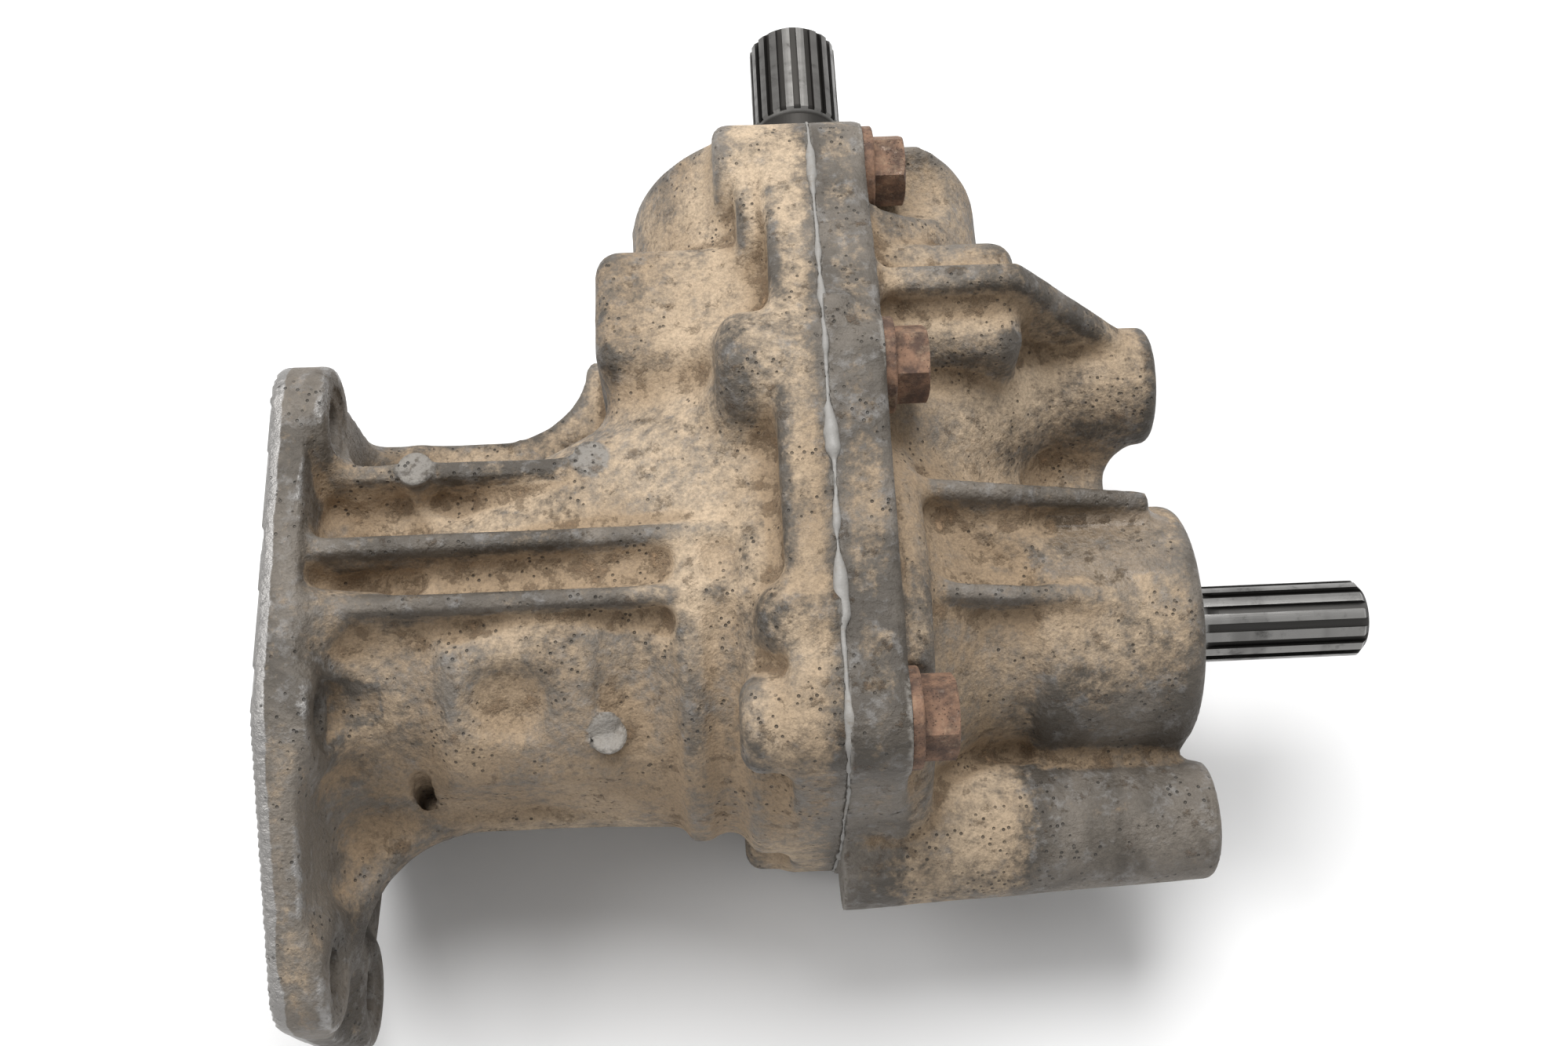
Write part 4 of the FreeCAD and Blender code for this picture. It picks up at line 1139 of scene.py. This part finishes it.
# the hump below the ribs, its upper edge and the ridge beside it
leftRods += [
    ((45.0, -14.7, 16.3), (45.3, -14.7, 16.3), 16.2, 16.2),
    ((39.0, -10.5, 31.0), (57.5, -9.5, 31.6), 3.0, 3.0),
    ((57.5, -9.5, 31.6), (57.2, -22.0, 25.0), 2.9, 2.9),
    ((57.2, -22.0, 25.0), (55.0, -31.0, 12.8), 2.9, 2.0),
]
leftDishes = [
    ((53.0, 52.0, -24.0), (53.0, 52.0, -4.0), 2.6, 2.6),
    ((44.6, -26.9, 37.9), (45.0, -26.9, 37.9), 13.0, 13.0),
    ((30.0, -9.4, 37.0), (74.0, -8.7, 37.0), 3.6, 3.6),
    ((68.0, -15.2, 41.8), (68.0, -34.0, 28.6), 9.4, 9.4),
    ((14.5, 17.4, 31.4), (26.0, 17.8, 31.4), 5.4, 5.4),
    ((14.0, 2.4, 33.5), (26.0, 2.8, 33.5), 3.7, 3.7),
]
leftDrills = [((*webHole, -16.0), (*webHole, 14.0), 2.4, 2.4)]
rightRods = [((118.0, 17.5, 17.0), (148.0, 10.5, 20.5), 9.0, 4.0)]

leftField, leftValues = castPiece("case_left", castShape, -1, {
    "cuts": leftCuts, "holes": leftHoles, "wide": leftWide, "shell": leftShell,
    "rods": leftRods, "dishes": leftDishes, "drills": leftDrills, "tops": ejectorPads,
})
rightField, rightValues = castPiece("case_right", castShape, 1, {
    "cuts": rightCuts, "holes": rightHoles, "wide": rightWide, "shell": rightShell,
    "rods": rightRods, "dishes": [], "drills": [], "tops": [],
})
print("castings ready")


# Sealant squeezed out along the joint

beadShape = {
    "reach": 2.4,
    "margin": 3.0,
    "sampleAway": 1.4,
    "step": 0.32,
    "band": 1.6,
    "thin": 0.28,
    "thick": 0.92,
    "flatten": 0.8,
    "wobble": 0.12,
    "drift": 0.35,
    "middleSwell": 0.45,
    "middleY": 12.0,
    "sunk": 0.02,
    "coreDepth": 3.0,
    "adaptivity": 0.02,
    "swellNoise": [(1.0, 11.0, 31), (0.5, 4.0, 32)],
    "wobbleNoise": [(1.0, 1.7, 33)],
    "driftNoise": [(1.0, 14.0, 34)],
}


def sealantBead(v):
    # a rope along the outline of both joint faces: distance to that outline and to the joint,
    # less a radius that swells and fades with noise
    parting, margin = faces["parting"], v["margin"]
    low = np.array([
        parting - v["reach"], leftField.axes[1][0] + margin, leftField.axes[2][0] + margin])
    high = np.array([
        parting + v["reach"], leftField.axes[1][-1] - margin, leftField.axes[2][-1] - margin])
    first = tuple(int(c) for c in np.floor(low / v["step"]))
    counts = tuple(int(c) for c in np.ceil(high / v["step"]).astype(int) - np.array(first) + 1)
    field = Field(first, counts, v["step"], v["band"])
    gridX, gridY, gridZ = gridAxes(field)
    plane = np.stack(np.meshgrid(field.axes[1], field.axes[2], indexing="ij"), -1).reshape(-1, 2)
    outlines = []
    for source, values, x in (
            (leftField, leftValues, leftFace - v["sampleAway"]),
            (rightField, rightValues, rightFace + v["sampleAway"])):
        spots = np.column_stack([np.full(len(plane), x), plane]).astype(np.float32)
        outlines.append(source.sample(values, spots).reshape(1, counts[1], counts[2]))
    outline = np.maximum(outlines[0], outlines[1])
    middle = softStep(-np.abs(gridY - v["middleY"]), -34.0, -22.0)
    swell = softStep(noiseSum(field, v["swellNoise"]) + v["middleSwell"] * middle, 0.0, 1.0)
    wobble = v["wobble"] * noiseSum(field, v["wobbleNoise"])
    radius = v["thin"] + v["thick"] * swell + wobble
    drift = v["drift"] * noiseSum(field, v["driftNoise"])
    across = (gridX - parting - drift) * v["flatten"]
    values = np.sqrt(across ** 2 + (outline - v["sunk"]) ** 2) - radius
    inside = outline < -v["coreDepth"]
    values = np.where(inside, v["band"], np.clip(values, -v["band"], v["band"])).astype(np.float32)
    values[:2] = v["band"]
    values[-2:] = v["band"]
    spots, three, four = field.gridOf(values).convertToPolygons(0.0, v["adaptivity"])
    lowest, highest = np.array(cadBox[0]) * 1000.0, np.array(cadBox[1]) * 1000.0
    spots = np.clip(spots, lowest + 0.001, highest - 0.001)
    faceSets = outward(spots, [f for f in (three, four) if len(f)])
    thing = surfaceObject("sealantBead", spots / 1000.0, faceSets)
    print("sealant bead triangles:", len(three) + 2 * len(four))
    paint(thing, sealGrey)
    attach(thing, "case")


sealantBead(beadShape)


# Camera and room

photoView = {
    "imageWide": 1999.0,
    "imageHigh": 1333.0,
    "focalPixels": 2170.0,
    "elevation": 65.5,
    "azimuth": -4.0,
    "roll": 1.3,
    "distance": 0.3617,
    "lookAt": (0.182, 0.0, 0.0),
    "lookAtPixel": (1500.0, 797.0),
    "sensorWide": 36.0,
}


def photoCamera(v):
    el = math.radians(v["elevation"])
    az = math.radians(v["azimuth"])
    roll = math.radians(v["roll"])
    # the view direction drops towards -Z and looks along +Y
    forward = Vector((-math.sin(az) * math.cos(el), math.cos(az) * math.cos(el), -math.sin(el)))
    right = forward.cross(Vector((0.0, 0.0, 1.0))).normalized()
    up = right.cross(forward)
    turned = right * math.cos(roll) + up * math.sin(roll)
    up = turned.cross(forward)
    right = turned
    # the target lands on its own pixel, so the camera steps aside by that much
    across = (v["lookAtPixel"][0] - v["imageWide"] / 2) / v["focalPixels"] * v["distance"]
    down = (v["lookAtPixel"][1] - v["imageHigh"] / 2) / v["focalPixels"] * v["distance"]
    spot = Vector(v["lookAt"]) - forward * v["distance"] - right * across + up * down
    data = bpy.data.cameras.new("photoCamera")
    data.sensor_width = v["sensorWide"]
    data.lens = v["sensorWide"] * v["focalPixels"] / v["imageWide"]
    data.clip_start = 0.01
    made = bpy.data.objects.new("photoCamera", data)
    axes = Matrix((right, up, -forward)).transposed().to_4x4()
    made.matrix_world = Matrix.Translation(spot) @ axes
    bpy.context.scene.collection.objects.link(made)
    bpy.context.scene.camera = made
    return made


camera = photoCamera(photoView)
print("camera at", [round(c, 4) for c in camera.matrix_world.translation])

room = {
    "floorSize": 6.0,
    "floorGap": 0.0002,
    "lampAim": (0.105, 0.03, 0.0),
    "floorColour": (0.93, 0.93, 0.93),
    "worldColour": (1.0, 1.0, 1.0),
    "worldFill": 0.40,
    "lamps": [
        ("softTop", (0.14, 0.46, 1.06), 0.75, 13.4),
        ("softSide", (-0.55, 0.05, 0.75), 0.5, 3.0),
    ],
}


def makeFloor(v):
    half = v["floorSize"] / 2
    level = cadBox[0][2] - v["floorGap"]
    mesh = bpy.data.meshes.new("paleFloor")
    mesh.from_pydata(
        [(-half, -half, level), (half, -half, level), (half, half, level), (-half, half, level)],
        [], [(0, 1, 2, 3)])
    thing = bpy.data.objects.new("paleFloor", mesh)
    bpy.context.scene.collection.objects.link(thing)
    material, tree, shader = startMaterial("paleFloorPaint")
    plugAll(tree, shader, {
        "Base Color": v["floorColour"], "Roughness": 0.95, "Specular IOR Level": 0.1,
    })
    paint(thing, material)


def makeWorld(v):
    world = bpy.data.worlds.new("softRoom")
    world.use_nodes = True
    tree = world.node_tree
    tree.nodes.clear()
    path = addNode(tree, "ShaderNodeLightPath")
    seen = calc(tree, "MAXIMUM", path.outputs["Is Camera Ray"], calc(
        tree, "MAXIMUM", path.outputs["Is Glossy Ray"], path.outputs["Is Transmission Ray"]))
    strength = blendValue(tree, seen, v["worldFill"], 1.0)
    back = addNode(tree, "ShaderNodeBackground", {"Color": v["worldColour"], "Strength": strength})
    out = addNode(tree, "ShaderNodeOutputWorld")
    tree.links.new(back.outputs[0], out.inputs[0])
    bpy.context.scene.world = world


def addLamp(name, place, width, power, aim):
    lamp = bpy.data.lights.new(name, "AREA")
    lamp.shape = "DISK"
    lamp.size = width
    lamp.energy = power
    thing = bpy.data.objects.new(name, lamp)
    towards = Vector(aim) - Vector(place)
    thing.rotation_euler = towards.to_track_quat("-Z", "Y").to_euler()
    thing.location = place
    bpy.context.scene.collection.objects.link(thing)


makeFloor(room)
makeWorld(room)
for name, place, width, power in room["lamps"]:
    addLamp(name, place, width, power, room["lampAim"])
bpy.context.scene.view_settings.view_transform = "Standard"
print("room ready")
